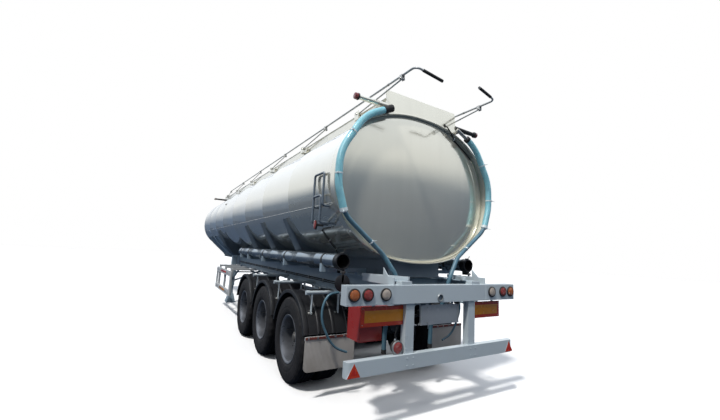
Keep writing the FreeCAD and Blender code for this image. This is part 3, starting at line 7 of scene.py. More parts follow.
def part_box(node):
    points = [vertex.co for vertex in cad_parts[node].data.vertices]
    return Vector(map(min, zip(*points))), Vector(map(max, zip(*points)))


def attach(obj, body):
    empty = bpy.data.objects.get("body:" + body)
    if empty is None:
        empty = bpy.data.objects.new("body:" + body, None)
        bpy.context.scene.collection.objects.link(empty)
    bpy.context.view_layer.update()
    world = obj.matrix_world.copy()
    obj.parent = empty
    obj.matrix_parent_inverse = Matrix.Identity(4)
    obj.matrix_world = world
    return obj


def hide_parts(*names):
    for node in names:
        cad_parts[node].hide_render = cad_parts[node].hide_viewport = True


# Looks of a three-axle tanker semi-trailer. Metres, +X forward, +Y left, +Z up.
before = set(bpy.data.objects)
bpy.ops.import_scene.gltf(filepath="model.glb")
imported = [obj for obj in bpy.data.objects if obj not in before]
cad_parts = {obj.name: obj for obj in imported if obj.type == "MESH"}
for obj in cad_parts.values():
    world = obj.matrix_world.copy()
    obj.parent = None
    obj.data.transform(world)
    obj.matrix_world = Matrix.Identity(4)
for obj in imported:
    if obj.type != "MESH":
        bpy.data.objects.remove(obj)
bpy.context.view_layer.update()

half = 0.5
full_turn = 2 * math.pi
sides = (1, -1)
side_names = {1: "left", -1: "right"}
forwards = (1, 0, 0)
rearwards = (-1, 0, 0)
leftwards = (0, 1, 0)
rightwards = (0, -1, 0)
upwards = (0, 0, 1)
downwards = (0, 0, -1)
merge_gap = 0.00002

# A station is measured forward from the rear face of the lamp beam.
tank_low, tank_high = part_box("tank")
tank_middle = (tank_high.z + tank_low.z) * half
tank_half_height = (tank_high.z - tank_low.z) * half
front_station = 12.075
datum = tank_high.x - front_station


def X(station):
    return datum + station


# Materials
def colour(code):
    shares = [int(code[place:place + 2], 16) / 255 for place in (0, 2, 4)]
    linear = [share / 12.92 if share <= 0.04045 else ((share + 0.055) / 1.055) ** 2.4 for share in shares]
    return linear + [1]


class Finish:
    """A node material built up from a base colour by layers of noise, dusting, painted shade and bump."""

    def __init__(self, name, code, roughness, metallic=0.0, coat=0.0):
        self.material = bpy.data.materials.new(name)
        self.material.use_nodes = True
        self.tree = self.material.node_tree
        self.shader = self.tree.nodes["Principled BSDF"]
        self.place = self.node("ShaderNodeTexCoord").outputs["Object"]
        self.hue = None
        self.height = None
        self.code = code
        self.roughness = roughness
        self.socket("Metallic", metallic).socket("Coat Weight", coat).socket("Coat Roughness", 0.08)
        self.socket("Base Color", colour(code)).socket("Roughness", roughness)

    def node(self, kind):
        return self.tree.nodes.new(kind)

    def link(self, source, target):
        self.tree.links.new(source, target)

    def socket(self, name, value):
        """Sets one uniform value of the shader."""
        self.shader.inputs[name].default_value = value
        return self

    def texture(self, kind, scale, stretch):
        mapping = self.node("ShaderNodeMapping")
        mapping.inputs["Scale"].default_value = stretch
        self.link(self.place, mapping.inputs["Vector"])
        texture = self.node(kind)
        texture.inputs["Scale"].default_value = scale
        self.link(mapping.outputs["Vector"], texture.inputs["Vector"])
        return texture

    def noise(self, scale, detail=3, stretch=(1, 1, 1)):
        texture = self.texture("ShaderNodeTexNoise", scale, stretch)
        texture.inputs["Detail"].default_value = detail
        return texture.outputs["Fac"]

    def spread(self, source, *ends):
        """Maps one range of values to another. The ends are from low, from high, to low and to high."""
        ranged = self.node("ShaderNodeMapRange")
        for name, end in zip(("From Min", "From Max", "To Min", "To Max"), ends):
            ranged.inputs[name].default_value = end
        self.link(source, ranged.inputs["Value"])
        return ranged.outputs["Result"]

    def math(self, operation, first, second):
        knot = self.node("ShaderNodeMath")
        knot.operation = operation
        for index, value in enumerate((first, second)):
            if isinstance(value, (int, float)):
                knot.inputs[index].default_value = value
            else:
                self.link(value, knot.inputs[index])
        return knot.outputs["Value"]

    def part_of_place(self, letter):
        split = self.node("ShaderNodeSeparateXYZ")
        self.link(self.place, split.inputs["Vector"])
        return split.outputs[letter]

    def tint(self, factor, code):
        """Mixes the colour so far towards another where factor is 1."""
        mix = self.node("ShaderNodeMix")
        mix.data_type = "RGBA"
        if self.hue is None:
            mix.inputs["A"].default_value = colour(self.code)
        else:
            self.link(self.hue, mix.inputs["A"])
        mix.inputs["B"].default_value = colour(code)
        self.link(factor, mix.inputs["Factor"])
        self.hue = mix.outputs["Result"]
        self.link(self.hue, self.shader.inputs["Base Color"])
        return self

    def vary(self, scale, code, amount, detail=4, stretch=(1, 1, 1)):
        return self.tint(self.spread(self.noise(scale, detail, stretch), 0.35, 0.7, 0.0, amount), code)

    def dust_and_low_shade(self, low, high, code, amount, scale=2.2):
        """Darkening that thickens towards the height low and is gone above high: a dusting on most finishes,
        painted shade on the teal hose.
        """
        fall = self.spread(self.part_of_place("Z"), low, high, amount, 0.0)
        patchy = self.spread(self.noise(scale, 5), 0.3, 0.7, 0.25, 1.0)
        return self.tint(self.math("MULTIPLY", fall, patchy), code)

    def gloss(self, scale, spread, detail=4, stretch=(1, 1, 1)):
        ranged = self.spread(self.noise(scale, detail, stretch), 0.3, 0.7,
                             self.roughness - spread, self.roughness + spread)
        self.link(ranged, self.shader.inputs["Roughness"])
        return self

    def bump(self, source, depth):
        knot = self.node("ShaderNodeBump")
        knot.inputs["Distance"].default_value = depth
        knot.inputs["Strength"].default_value = 1
        self.link(source, knot.inputs["Height"])
        if self.height is not None:
            self.link(self.height, knot.inputs["Normal"])
        self.height = knot.outputs["Normal"]
        self.link(self.height, self.shader.inputs["Normal"])
        return self

    def grain(self, scale, depth, detail=3, stretch=(1, 1, 1)):
        return self.bump(self.noise(scale, detail, stretch), depth)

    def cells(self, scale, depth):
        return self.bump(self.texture("ShaderNodeTexVoronoi", scale, (1, 1, 1)).outputs["Distance"], depth)

    def waves(self, letter, pitch, depth):
        """Fine ridges square to an axis."""
        angle = self.math("MULTIPLY", self.part_of_place(letter), full_turn / pitch)
        return self.bump(self.math("SINE", angle, 0.0), depth)


def paint(name, code, roughness, dusty=0.12, coat=0.25):
    made = Finish(name, code, roughness, 0.0, coat).vary(1.3, "8f8d84", 0.10)
    return made.dust_and_low_shade(0.2, 1.7, "6d6558", dusty).gloss(9, 0.07).grain(160, 0.0004)


def metal(name, code, roughness, scale=30, metallic=0.85):
    made = Finish(name, code, roughness, metallic).vary(3.5, "55534f", 0.22, 5)
    return made.gloss(scale, 0.1).grain(scale * 6, 0.0003)


def lens(name, code, pitch=0.007):
    made = Finish(name, code, 0.16, 0.0, 0.6).vary(18, "2a1208", 0.15)
    return made.waves("Y", pitch, 0.0011).waves("Z", pitch, 0.0011)


def sheeting(name, code, dusty=0.18):
    """Retroreflective sheet: glossy, with a fine cell pattern."""
    return Finish(name, code, 0.24, 0.0, 0.4).vary(5, "6d3d1c", dusty).cells(330, 0.0005).gloss(14, 0.06)


finishes = {
    "tank": (Finish("tank_paint", "e4e0cf", 0.15, 0.58, 1.0)
             .socket("Specular IOR Level", 0.8).socket("Coat IOR", 1.75).socket("Coat Roughness", 0.04)
             .vary(0.5, "d2cfc0", 0.4, 3, (0.35, 1, 1)).vary(2.4, "bdb8a8", 0.12, 6, (3.2, 3.2, 0.22))
             .dust_and_low_shade(1.35, 2.3, "8d8675", 0.12, 3.0).gloss(2.5, 0.04, 5, (0.4, 1, 1))
             .grain(1.6, 0.0022, 2, (0.4, 1, 1))),
    "frame": paint("frame_paint", "93a5b1", 0.36),
    "beam": paint("beam_paint", "b9c4ca", 0.34, 0.1, 0.35),
    "guard_board": paint("guard_board_paint", "cdd0d0", 0.4),
    "black": paint("black_paint", "27282b", 0.42, 0.3),
    "marker_red": lens("marker_lens", "8e1f1a", 0.006),
    "red": paint("red_case", "9c1811", 0.32, 0.12, 0.35),
    "rim": metal("rim_silver", "72757b", 0.34, 12, 0.6),
    "tube": Finish("tube_alloy", "97a1a9", 0.24, 0.85).vary(1.1, "6f777e", 0.35, 2).gloss(3, 0.05, 2),
    # A dark slate that stands for shade on the tank saddles and for shadow lines on the grab tubes: painted
    # shade.
    "tube_blue": paint("tube_paint", "5f6b77", 0.36),
    "zinc": metal("zinc_steel", "b4b3ae", 0.32),
    "rail": metal("rail_steel", "c6c7c5", 0.3, 30, 0.5),
    "dark_steel": metal("dark_steel", "4b4a49", 0.46, 24, 0.6),
    "galvanised": (Finish("galvanised", "a9acab", 0.42, 0.75)
                   .vary(26, "7f8382", 0.5, 2).cells(70, 0.0002).gloss(40, 0.12)),
    "grip": (Finish("walkway_grip", "a2a6a5", 0.45, 0.7).vary(18, "777b7a", 0.5, 3)
             .waves("X", 0.034, 0.0022).waves("Y", 0.034, 0.0022).gloss(30, 0.12)),
    "tyre": (Finish("tyre_rubber", "0e0e10", 0.72).socket("Specular IOR Level", 0.3)
             .vary(5, "232124", 0.5, 6).vary(22, "383430", 0.16, 4).gloss(20, 0.12).grain(260, 0.0006)),
    "rubber": (Finish("black_rubber", "1d1d1f", 0.72).vary(6, "2f2b27", 0.5)
               .dust_and_low_shade(0.3, 1.1, "4a443c", 0.2, 9.0).gloss(14, 0.12).grain(300, 0.0005)),
    "moulded": (Finish("moulded_black", "121316", 0.46).socket("Specular IOR Level", 0.38)
                .vary(2.2, "26262a", 0.45, 5).dust_and_low_shade(0.3, 1.2, "453f38", 0.18, 5.0)
                .gloss(12, 0.1).cells(420, 0.0003)),
    # The teal hose darkens to a slate blue lower down: painted shade.
    "hose": (Finish("teal_hose", "86c8d5", 0.32, 0.0, 0.3).socket("Subsurface Weight", 0.06)
             .vary(4, "9fd4db", 0.4).vary(11, "639fb1", 0.3).dust_and_low_shade(1.1, 2.6, "4d6c7c", 0.6, 1.5)
             .waves("Z", 0.011, 0.0005).gloss(12, 0.08)),
    "thin_hose": (Finish("thin_hose", "54798a", 0.4).vary(9, "37515e", 0.5)
                  .dust_and_low_shade(0.4, 1.1, "5d5a52", 0.3, 12.0).grain(220, 0.0003)),
    "tie": Finish("nylon_tie", "d9e2e4", 0.4).vary(30, "9fb2b8", 0.3).grain(300, 0.0002),
    "amber": lens("amber_lens", "b25c1b"),
    "lamp_red": lens("red_lens", "95231c"),
    "clear": lens("clear_lens", "bcafa3"),
    "plate_red": sheeting("plate_red_sheet", "c53a1b"),
    "plate_amber": sheeting("plate_amber_sheet", "d98a1d"),
    "triangle": sheeting("triangle_sheet", "b5251a", 0.1),
    "plate_white": sheeting("plate_blank_sheet", "aeb2b5", 0.08),
    "tape_white": sheeting("tape_white_sheet", "c9cbca", 0.06),
    "flap": (Finish("flap_sheet", "c3bdb6", 0.58).vary(4, "968d82", 0.4, 6)
             .dust_and_low_shade(0.28, 0.6, "7b6f60", 0.5, 7.0).waves("Y", 0.016, 0.0006).grain(120, 0.0006)),
    "strip": Finish("flap_strip", "7d4238", 0.5).vary(12, "4f2a24", 0.5).grain(160, 0.0004),
}
paints = {name: finish.material for name, finish in finishes.items()}


# Shapes are pairs: a list of corner points and a list of faces
def around(count, radius=1, offset=0.0):
    """Places evenly spread on a circle, as pairs."""
    for index in range(count):
        angle = full_turn * (index + offset) / count
        yield math.cos(angle) * radius, math.sin(angle) * radius


def grid(rows, count, wrap_rows, wrap_count=True):
    """The faces between rows of points, each direction closed on itself where asked."""
    faces = []
    for row in range(rows if wrap_rows else rows - 1):
        start = row * count
        finish = (row + 1) % rows * count
        for index in range(count if wrap_count else count - 1):
            ahead = (index + 1) % count
            faces.append((start + index, finish + index, finish + ahead, start + ahead))
    return faces


def capped(points, rows, count):
    """Rows of points joined to a skin, with a flat face at both ends."""
    ends = [tuple(range(count)), tuple(reversed(range((rows - 1) * count, rows * count)))]
    return points, grid(rows, count, False) + ends


def block(x0, x1, y0, y1, z0, z1, edge=0.003):
    """A box with chamfered edges."""
    shape = bmesh.new()
    bmesh.ops.create_cube(shape, size=1.0)
    size = Vector((abs(x1 - x0), abs(y1 - y0), abs(z1 - z0)))
    centre = Vector(((x0 + x1) * half, (y0 + y1) * half, (z0 + z1) * half))
    for vert in shape.verts:
        vert.co = vert.co * size + centre
    bmesh.ops.bevel(shape, geom=list(shape.edges), offset=min(edge, min(size) * 0.3), segments=2,
                    profile=half, affect="EDGES")
    shape.verts.index_update()
    points = [tuple(vert.co) for vert in shape.verts]
    faces = [tuple(vert.index for vert in face.verts) for face in shape.faces]
    shape.free()
    return points, faces


def basis(axis):
    along = Vector(axis).normalized()
    other = Vector((0, 0, 1)) if abs(along.z) < 0.9 else Vector((1, 0, 0))
    first = other.cross(along).normalized()
    return along, first, along.cross(first)


def turned(profile, origin, axis, steps=48, closed=False):
    """Revolves (distance along the axis, radius) points. An open profile that ends at radius 0 is capped."""
    along, first, second = basis(axis)
    origin = Vector(origin)
    points = []
    for cosine, sine in around(steps):
        spoke = first * cosine + second * sine
        points += [tuple(origin + along * run + spoke * radius) for run, radius in profile]
    return points, grid(steps, len(profile), True, closed)


def collar(place, axis, reach, inner, outer, steps, closed=False):
    """A short ring that reaches as far to each side of its place."""
    profile = [(-reach, inner), (-reach, outer), (reach, outer), (reach, inner)]
    return turned(profile, place, axis, steps, closed)


def sweep(path, radius, corners=12, closed=False):
    """A round tube along a list of points, with flat ends."""
    path = [Vector(point) for point in path]
    count = len(path)
    points = []
    spoke = None
    for index, point in enumerate(path):
        before = path[index - 1] if index or closed else point
        after = path[(index + 1) % count] if index + 1 < count or closed else point
        run = (after - before).normalized()
        if spoke is None:
            spoke = basis(run)[1]
        spoke = (spoke - run * spoke.dot(run)).normalized()
        other = run.cross(spoke)
        size = radius[index] if isinstance(radius, (list, tuple)) else radius
        points += [tuple(point + (spoke * cosine + other * sine) * size) for cosine, sine in around(corners)]
    if closed:
        return points, grid(count, corners, True)
    return capped(points, count, corners)


def bent(corners, bend, steps=6):
    """The points of straight runs joined by arcs of one radius."""
    corners = [Vector(corner) for corner in corners]
    path = [corners[0]]
    for before, corner, after in zip(corners, corners[1:], corners[2:]):
        back = (before - corner).normalized()
        ahead = (after - corner).normalized()
        angle = back.angle(ahead)
        reach = bend / math.tan(angle * half)
        centre = corner + (back + ahead).normalized() * (bend / math.sin(angle * half))
        start = (corner + back * reach - centre).normalized()
        finish = (corner + ahead * reach - centre).normalized()
        for step in range(steps + 1):
            path.append(centre + start.slerp(finish, step / steps) * bend)
    path.append(corners[-1])
    return path


def extruded(outline, run):
    """A flat outline, given as points in space, pushed along a run."""
    start = [Vector(point) for point in outline]
    finish = [point + Vector(run) for point in start]
    return capped([tuple(point) for point in start + finish], 2, len(outline))


def mirrored(shape):
    points, faces = shape
    return [(x, -y, z) for x, y, z in points], [tuple(reversed(face)) for face in faces]


def merged(shapes):
    points = []
    faces = []
    for shape_points, shape_faces in shapes:
        start = len(points)
        points += shape_points
        faces += [tuple(index + start for index in face) for face in shape_faces]
    return points, faces


def hex_bolt(place, axis, size, stand):
    """A hexagon head on a washer. Size is half the width across its corners."""
    base = stand * 0.25
    washer = turned([(0, 0), (0, size * 1.25), (base, size * 1.25), (base, 0)], place, axis, 14)
    head = turned([(0, 0), (0, size), (stand * 0.85, size), (stand, size * 0.86), (stand, 0)],
                  Vector(place) + Vector(axis).normalized() * stand * 0.25, axis, 6)
    return merged([washer, head])


def clean_mesh(name, points, faces, marks=()):
    """A mesh with its doubled points joined and its faces turned outward."""
    mesh = bpy.data.meshes.new(name)
    mesh.from_pydata(points, [], faces)
    for polygon, mark in zip(mesh.polygons, marks):
        polygon.material_index = mark
    shape = bmesh.new()
    shape.from_mesh(mesh)
    bmesh.ops.remove_doubles(shape, verts=shape.verts, dist=merge_gap)
    bmesh.ops.recalc_face_normals(shape, faces=shape.faces)
    shape.to_mesh(mesh)
    shape.free()
    return mesh


class Pile:
    """Collects shapes, each with its own finish, and makes one piece of them."""

    def __init__(self):
        self.shapes = []
        self.finishes = []

    def put(self, shape, finish):
        self.shapes.append((shape, finish))
        if finish not in self.finishes:
            self.finishes.append(finish)

    def both(self, shape, finish):
        self.put(shape, finish)
        self.put(mirrored(shape), finish)

    def bolts(self, places, axis, size, stand, finish="zinc", pair=True):
        add = self.both if pair else self.put
        for place in places:
            add(hex_bolt(place, axis, size, stand), finish)

    def mesh(self, name, crease=35):
        marks = []
        for (points, faces), finish in self.shapes:
            marks += [self.finishes.index(finish)] * len(faces)
        mesh = clean_mesh(name, *merged([shape for shape, finish in self.shapes]), marks)
        mesh.shade_smooth()
        mesh.set_sharp_from_angle(angle=math.radians(crease))
        for finish in self.finishes:
            mesh.materials.append(paints[finish])
        return mesh

    def make(self, name, body, hides=(), crease=35):
        placed(name, self.mesh(name, crease), body, hides)


def placed(name, mesh, body, hides=(), location=(0, 0, 0)):
    piece = bpy.data.objects.new(name, mesh)
    bpy.context.scene.collection.objects.link(piece)
    piece.location = location
    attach(piece, body)
    if hides:
        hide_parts(*hides)


# Tank: one loft from the middle of the rear end to the middle of the front end
tank_power = 2.2
tank_steps = 184
tank_crease = 32
rim_wall = 0.014
rim_depth = 0.105
end_overhang = 0.025
dish_radius = 6.5
knuckle_share = 0.93
knuckle_depth = 0.012
seam_count = 8
seam_height = 2.21
seam_rod = 0.004
bead_outline = ((-0.008, 0), (-0.004, 0.0004), (0, 0.0006), (0.004, 0.0004), (0.008, 0))
rim_outline_in = ((rim_wall, 0.006), (rim_wall * 0.8, 0.001), (rim_wall * 0.25, 0.001), (0, 0.006),
                  (0, rim_depth * 0.85))
dish_shares = (0, 0.1, 0.2, 0.32, 0.45, 0.58, 0.7, 0.8, 0.88, 0.93, 0.95, 0.965, 0.978, 0.988, 0.995, 1)


def section(angle, inset, share=1.0):
    """A point of the tank's rounded-box section, as (y, z)."""
    cosine = math.cos(angle)
    sine = math.sin(angle)
    power = 2 / tank_power
    y = (tank_high.y - inset) * share * math.copysign(abs(cosine) ** power, cosine)
    z = (tank_half_height - inset) * share * math.copysign(abs(sine) ** power, sine)
    return y, tank_middle + z


def section_share(share):
    """How much of one half width is left where the other is used up by a share."""
    return (1 - abs(share) ** tank_power) ** (1 / tank_power)


def flank(z):
    """How far out the tank's skin stands at a height."""
    return tank_high.y * section_share((z - tank_middle) / tank_half_height)


def skin_height(y):
    """The tank's top over a place across it."""
    return tank_middle + tank_half_height * section_share(y / tank_high.y)


def dish_rise(y, z):
    return dish_radius - math.sqrt(dish_radius ** 2 - y ** 2 - (z - tank_middle) ** 2)


def tank_rings():
    """Rings from the rear end's middle out, along the barrel and in again: (share, inset, place, end)."""
    length = front_station - 2 * end_overhang - (tank_low.x - datum)
    seams = [rim_depth + (length - 2 * rim_depth) * index / seam_count for index in range(seam_count + 1)]
    rings = [(share, rim_wall, 0, "rear") for share in dish_shares]
    rings += [(1, inset, place, "edge") for inset, place in rim_outline_in]
    rings += [(1, -rise, seam + run, "edge") for seam in seams for run, rise in bead_outline]
    rings += [(1, inset, length - place, "edge") for inset, place in reversed(rim_outline_in)]
    return rings + [(share, rim_wall, 0, "front") for share in reversed(dish_shares)]


def tank_shape():
    points = []
    rings = tank_rings()
    for share, inset, place, end in rings:
        for step in range(tank_steps):
            y, z = section(full_turn * step / tank_steps, inset, share)
            if end == "edge":
                x = tank_low.x + end_overhang + place
            else:
                turn_in = max(0, (share - knuckle_share) / (1 - knuckle_share))
                depth = dish_rise(y, z) + knuckle_depth * (1 - math.sqrt(max(0, 1 - turn_in ** 2)))
                x = tank_low.x + depth if end == "rear" else tank_high.x - depth
            points.append((x, y, z))
    return points, grid(len(rings), tank_steps, False)


def tank():
    pile = Pile()
    pile.put(tank_shape(), "tank")
    # The long seams low on each flank
    y = flank(seam_height) - seam_rod * half
    inset = rim_depth + end_overhang
    run = [(tank_low.x + inset, y, seam_height), (tank_high.x - inset, y, seam_height)]
    pile.both(sweep(run, seam_rod, 8), "tank")
    pile.make("tank_shell", "trailer", ["tank"], tank_crease)


tank()

# Wheels: each pair of tyres and its rims are made once and set at each axle end
tyre_low, tyre_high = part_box("tyres_rear_left")
wheel_height = (tyre_low.z + tyre_high.z) * half
tyre_radius = (tyre_high.z - tyre_low.z) * half
tyre_centres = (1.100, 0.790)
tyre_steps = 128
groove_depth = 0.013
groove_half = 0.0036
groove_places = (0.022, 0.066)
lug_depth = 0.009
lug_repeat = 4
tread_half = 0.104
wall_outline = (
    (0.124, 0.505), (0.1275, 0.496), (0.1285, 0.4955), (0.131, 0.478), (0.1335, 0.4765), (0.136, 0.455),
    (0.139, 0.425), (0.1398, 0.402), (0.1385, 0.4), (0.1385, 0.384), (0.139, 0.382), (0.1375, 0.362),
    (0.134, 0.342), (0.1285, 0.325), (0.126, 0.318), (0.1235, 0.316), (0.119, 0.305), (0.115, 0.299),
    (0.113, 0.290), (0.113, 0.284),
)


def tread_outline():
    """Half of the tread from the middle out, as (y, radius) from the tyre's own middle."""
    outline = [(0, tyre_radius)]
    lip = groove_half * 1.3
    for place in groove_places:
        outline += [(place - lip, tyre_radius), (place - groove_half, tyre_radius - groove_depth),
                    (place + groove_half, tyre_radius - groove_depth), (place + lip, tyre_radius)]
    return outline + [(tread_half - 0.02, tyre_radius - 0.0005), (tread_half, tyre_radius - 0.003),
                      (tread_half + 0.008, tyre_radius - 0.009)]


def tyre_shape(centre):
    half_outline = tread_outline() + list(wall_outline)
    outline = [(-y, radius) for y, radius in reversed(half_outline[1:])] + half_outline
    points = []
    for step, (cosine, sine) in enumerate(around(tyre_steps)):
        for y, radius in outline:
            shoulder = tread_half - 0.021 < abs(y) < tread_half + 0.021 and radius > tyre_radius - 0.03
            if shoulder and step % lug_repeat == 0:
                radius -= lug_depth
            points.append((cosine * radius, centre + y, sine * radius))
    return points, grid(tyre_steps, len(outline), True)


disc_place = 0.945
hole_count = 8
hole_circle = 0.205
hole_radius = 0.030
nut_count = 10
nut_circle = 0.1675
nut_size = 0.018
nut_stand = 0.022
cap_bolt_circle = 0.078
hub_end = 1.120
rim_outline = (
    (0.1225, 0.290), (0.1232, 0.298), (0.1215, 0.3005), (0.118, 0.300), (0.116, 0.296), (0.114, 0.286),
    (0.108, 0.2826), (0.060, 0.2826), (0.052, 0.2826),
)
rim_inside = (
    (0.117, 0.283), (0.108, 0.270), (0.092, 0.267), (0.060, 0.262), (-0.060, 0.262), (-0.092, 0.267),
    (-0.108, 0.270), (-0.117, 0.283),
)
disc_outline = (
    (0.012, 0.262), (0.004, 0.256), (0.0, 0.246), (-0.006, 0.226), (-0.008, 0.200), (-0.003, 0.178),
    (0.009, 0.168), (0.009, 0.096), (-0.009, 0.096), (-0.009, 0.170), (-0.022, 0.186), (-0.024, 0.205),
    (-0.022, 0.228), (-0.014, 0.250), (-0.004, 0.262),
)
hub_outline = (
    (0.009, 0), (0.009, 0.142), (0.030, 0.140), (0.034, 0.136), (0.036, 0.112), (0.042, 0.100),
    (0.060, 0.097), (0.150, 0.095), (0.165, 0.090), (0.172, 0.080), (0.175, 0.066), (0.175, 0),
)
cap_outline = (
    (0, 0), (0, 0.066), (0.006, 0.0665), (0.012, 0.060), (0.022, 0.055), (0.028, 0.048), (0.030, 0.036),
    (0.030, 0),
)
drum_outline = (
    (0.655, 0.208), (0.660, 0.210), (0.672, 0.210), (0.676, 0.2065), (0.920, 0.2065), (0.928, 0.200),
    (0.936, 0.150), (0.936, 0.052), (0.915, 0.052), (0.912, 0.185), (0.655, 0.192),
)
spacer_gap = 0.1226


def one_rim(centre):
    """Barrel of one wheel with a lip on both edges and a lower well between."""
    outer = [(-y, radius) for y, radius in rim_outline] + list(reversed(rim_outline))
    return turned(outer + list(rim_inside), (0, centre, 0), leftwards, 72, True)


def wheel_disc():
    """The dished disc with its hand holes, cut once and reused."""
    profile = [(0, 0), (0, hole_radius), (0.1, hole_radius), (0.1, 0)]
    places = [(x, disc_place - 0.05, z) for x, z in around(hole_count, hole_circle)]
    holes = [turned(profile, place, leftwards, 20) for place in places]
    things = []
    for name, shape in (("disc", turned(disc_outline, (0, disc_place, 0), leftwards, 96, True)),
                        ("hand_holes", merged(holes))):
        things.append(bpy.data.objects.new(name, clean_mesh(name, *shape)))
        bpy.context.scene.collection.objects.link(things[-1])
    disc, cutter = things
    knife = disc.modifiers.new("holes", "BOOLEAN")
    knife.operation = "DIFFERENCE"
    knife.solver = "EXACT"
    knife.object = cutter
    bpy.context.view_layer.update()
    result = bpy.data.meshes.new_from_object(disc.evaluated_get(bpy.context.evaluated_depsgraph_get()))
    for thing in things:
        bpy.data.objects.remove(thing)
    points = [tuple(vert.co) for vert in result.vertices]
    return points, [tuple(polygon.vertices) for polygon in result.polygons]


def hub_shapes(pile):
    pile.put(turned(hub_outline, (0, disc_place, 0), leftwards, 56), "dark_steel")
    pile.put(turned(cap_outline, (0, hub_end, 0), leftwards, 40), "black")
    for x, z in around(nut_count, nut_circle, half):
        pile.put(hex_bolt((x, disc_place + 0.008, z), leftwards, nut_size, nut_stand), "zinc")
        pile.put(turned([(0, 0), (0, 0.010), (0.014, 0.010), (0.016, 0.008), (0.016, 0)],
                        (x, disc_place + 0.008 + nut_stand, z), leftwards, 10), "dark_steel")
    places = [(x, disc_place + 0.170, z) for x, z in around(8, cap_bolt_circle)]
    pile.bolts(places, leftwards, 0.009, 0.008, pair=False)


def wheel_piles():
    """The tyres and the rims of one left wheel pair about its axle."""
    tyres = Pile()
    rims = Pile()
    for centre in tyre_centres:
        tyres.put(tyre_shape(centre), "tyre")
        rims.put(one_rim(centre), "rim")
    rims.put(wheel_disc(), "rim")
    outer, inner = tyre_centres
    spacer = [(inner + spacer_gap, 0.281), (outer - spacer_gap, 0.281),
              (outer - spacer_gap, 0.269), (inner + spacer_gap, 0.269)]
    rims.put(turned(spacer, (0, 0, 0), leftwards, 72, True), "rim")
    hub_shapes(rims)
    rims.put(turned(drum_outline, (0, 0, 0), leftwards, 56, True), "dark_steel")
    rims.put(sweep([(0.238, outer - 0.02, 0.06), (0.236, outer + 0.05, 0.06)], 0.005, 8), "zinc")
    return tyres, rims


def wheels():
    tyres, rims = wheel_piles()
    for side in sides:
        meshes = {}
        for axle in ("rear", "middle", "front"):
            end = axle + "_" + side_names[side]
            low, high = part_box("tyres_" + end)
            place = ((low.x + high.x) * half, 0, (low.z + high.z) * half)
            for pile, node, ending, slot in ((tyres, "tyres_" + end, "_tread", "tyre"),
                                             (rims, "rims_" + end, "_wheel", "rim_silver")):
                if pile not in meshes:
                    meshes[pile] = pile.mesh(node + ending)
                placed(node + ending, meshes[pile], "wheels_" + end, [node], place)
        for pile in (tyres, rims):
            pile.shapes = [(mirrored(shape), finish) for shape, finish in pile.shapes]


wheels()

# CAD pieces keep their own mesh. For each node: its finish, and the width of its rounded edges if it shows
node_looks = {
    "coaming": ("tank", 0.0015), "walkway": ("grip", 0.002), "manholes": ("galvanised", 0.002),
    # The saddles under the tank take the dark slate: painted shade.
    "chassis": ("frame", 0.003), "tank_saddles": ("tube_blue", 0.002), "coupler": ("frame", 0.004),
    "axles": ("black", 0.003), "leaf_springs": ("black", 0.0012), "guard_arms": ("beam", 0.0015),
    "hose_tube_arms": ("frame", 0.002), "landing_gear": ("frame", 0.003),
    "side_guards": ("guard_board", 0.003), "lamp_beam": ("beam", 0.0025), "bumper": ("beam", 0.003),
    "air_tanks": ("black", 0.004),
    "outlet_pipes": ("galvanised", 0.002), "extinguisher_box": ("red", 0.0012),
    # The grab tubes take the dark slate of the shadow lines on the flank: painted shadow.
    "grab_tubes": ("tube_blue", 0.0012), "manhole_lid_rear": ("galvanised", 0.003),
    "manhole_lid_middle": ("galvanised", 0.003), "manhole_lid_front": ("galvanised", 0.003),
    "hose_tube_lid_left": ("black", 0.002), "hose_tube_lid_right": ("black", 0.002),
    "handrail_left": ("rail", 0.001), "handrail_right": ("rail", 0.001),
    "mudguards": ("moulded", None), "mudflaps": ("flap", None), "hose_tubes": ("tube", None),
    "rear_lamps": ("lamp_red", None), "rear_plates": ("plate_red", None), "drain_hoses": ("hose", None),
    "free_hose_left": ("thin_hose", None), "free_hose_right": ("thin_hose", None),
    "marker_lamps": ("black", None),
}
post_width = 0.001
smooth_angle = math.radians(38)


def round_edges(node, width):
    weld = node.modifiers.new("weld", "WELD")
    weld.merge_threshold = merge_gap
    bevel = node.modifiers.new("edges", "BEVEL")
    bevel.width = width
    bevel.segments = 2
    bevel.limit_method = "ANGLE"
    bevel.angle_limit = smooth_angle
    bevel.harden_normals = False
    node.data.shade_smooth()
    node.data.set_sharp_from_angle(angle=smooth_angle)
    flat = node.modifiers.new("flat_faces", "WEIGHTED_NORMAL")
    flat.keep_sharp = True
    flat.weight = 90


for node_name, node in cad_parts.items():
    other_width = post_width if node_name.startswith("rail_post") else None
    node_finish, node_width = node_looks.get(node_name, ("rail", other_width))
    node.data.materials.clear()
    node.data.materials.append(paints[node_finish])
    if node_width:
        round_edges(node, node_width)

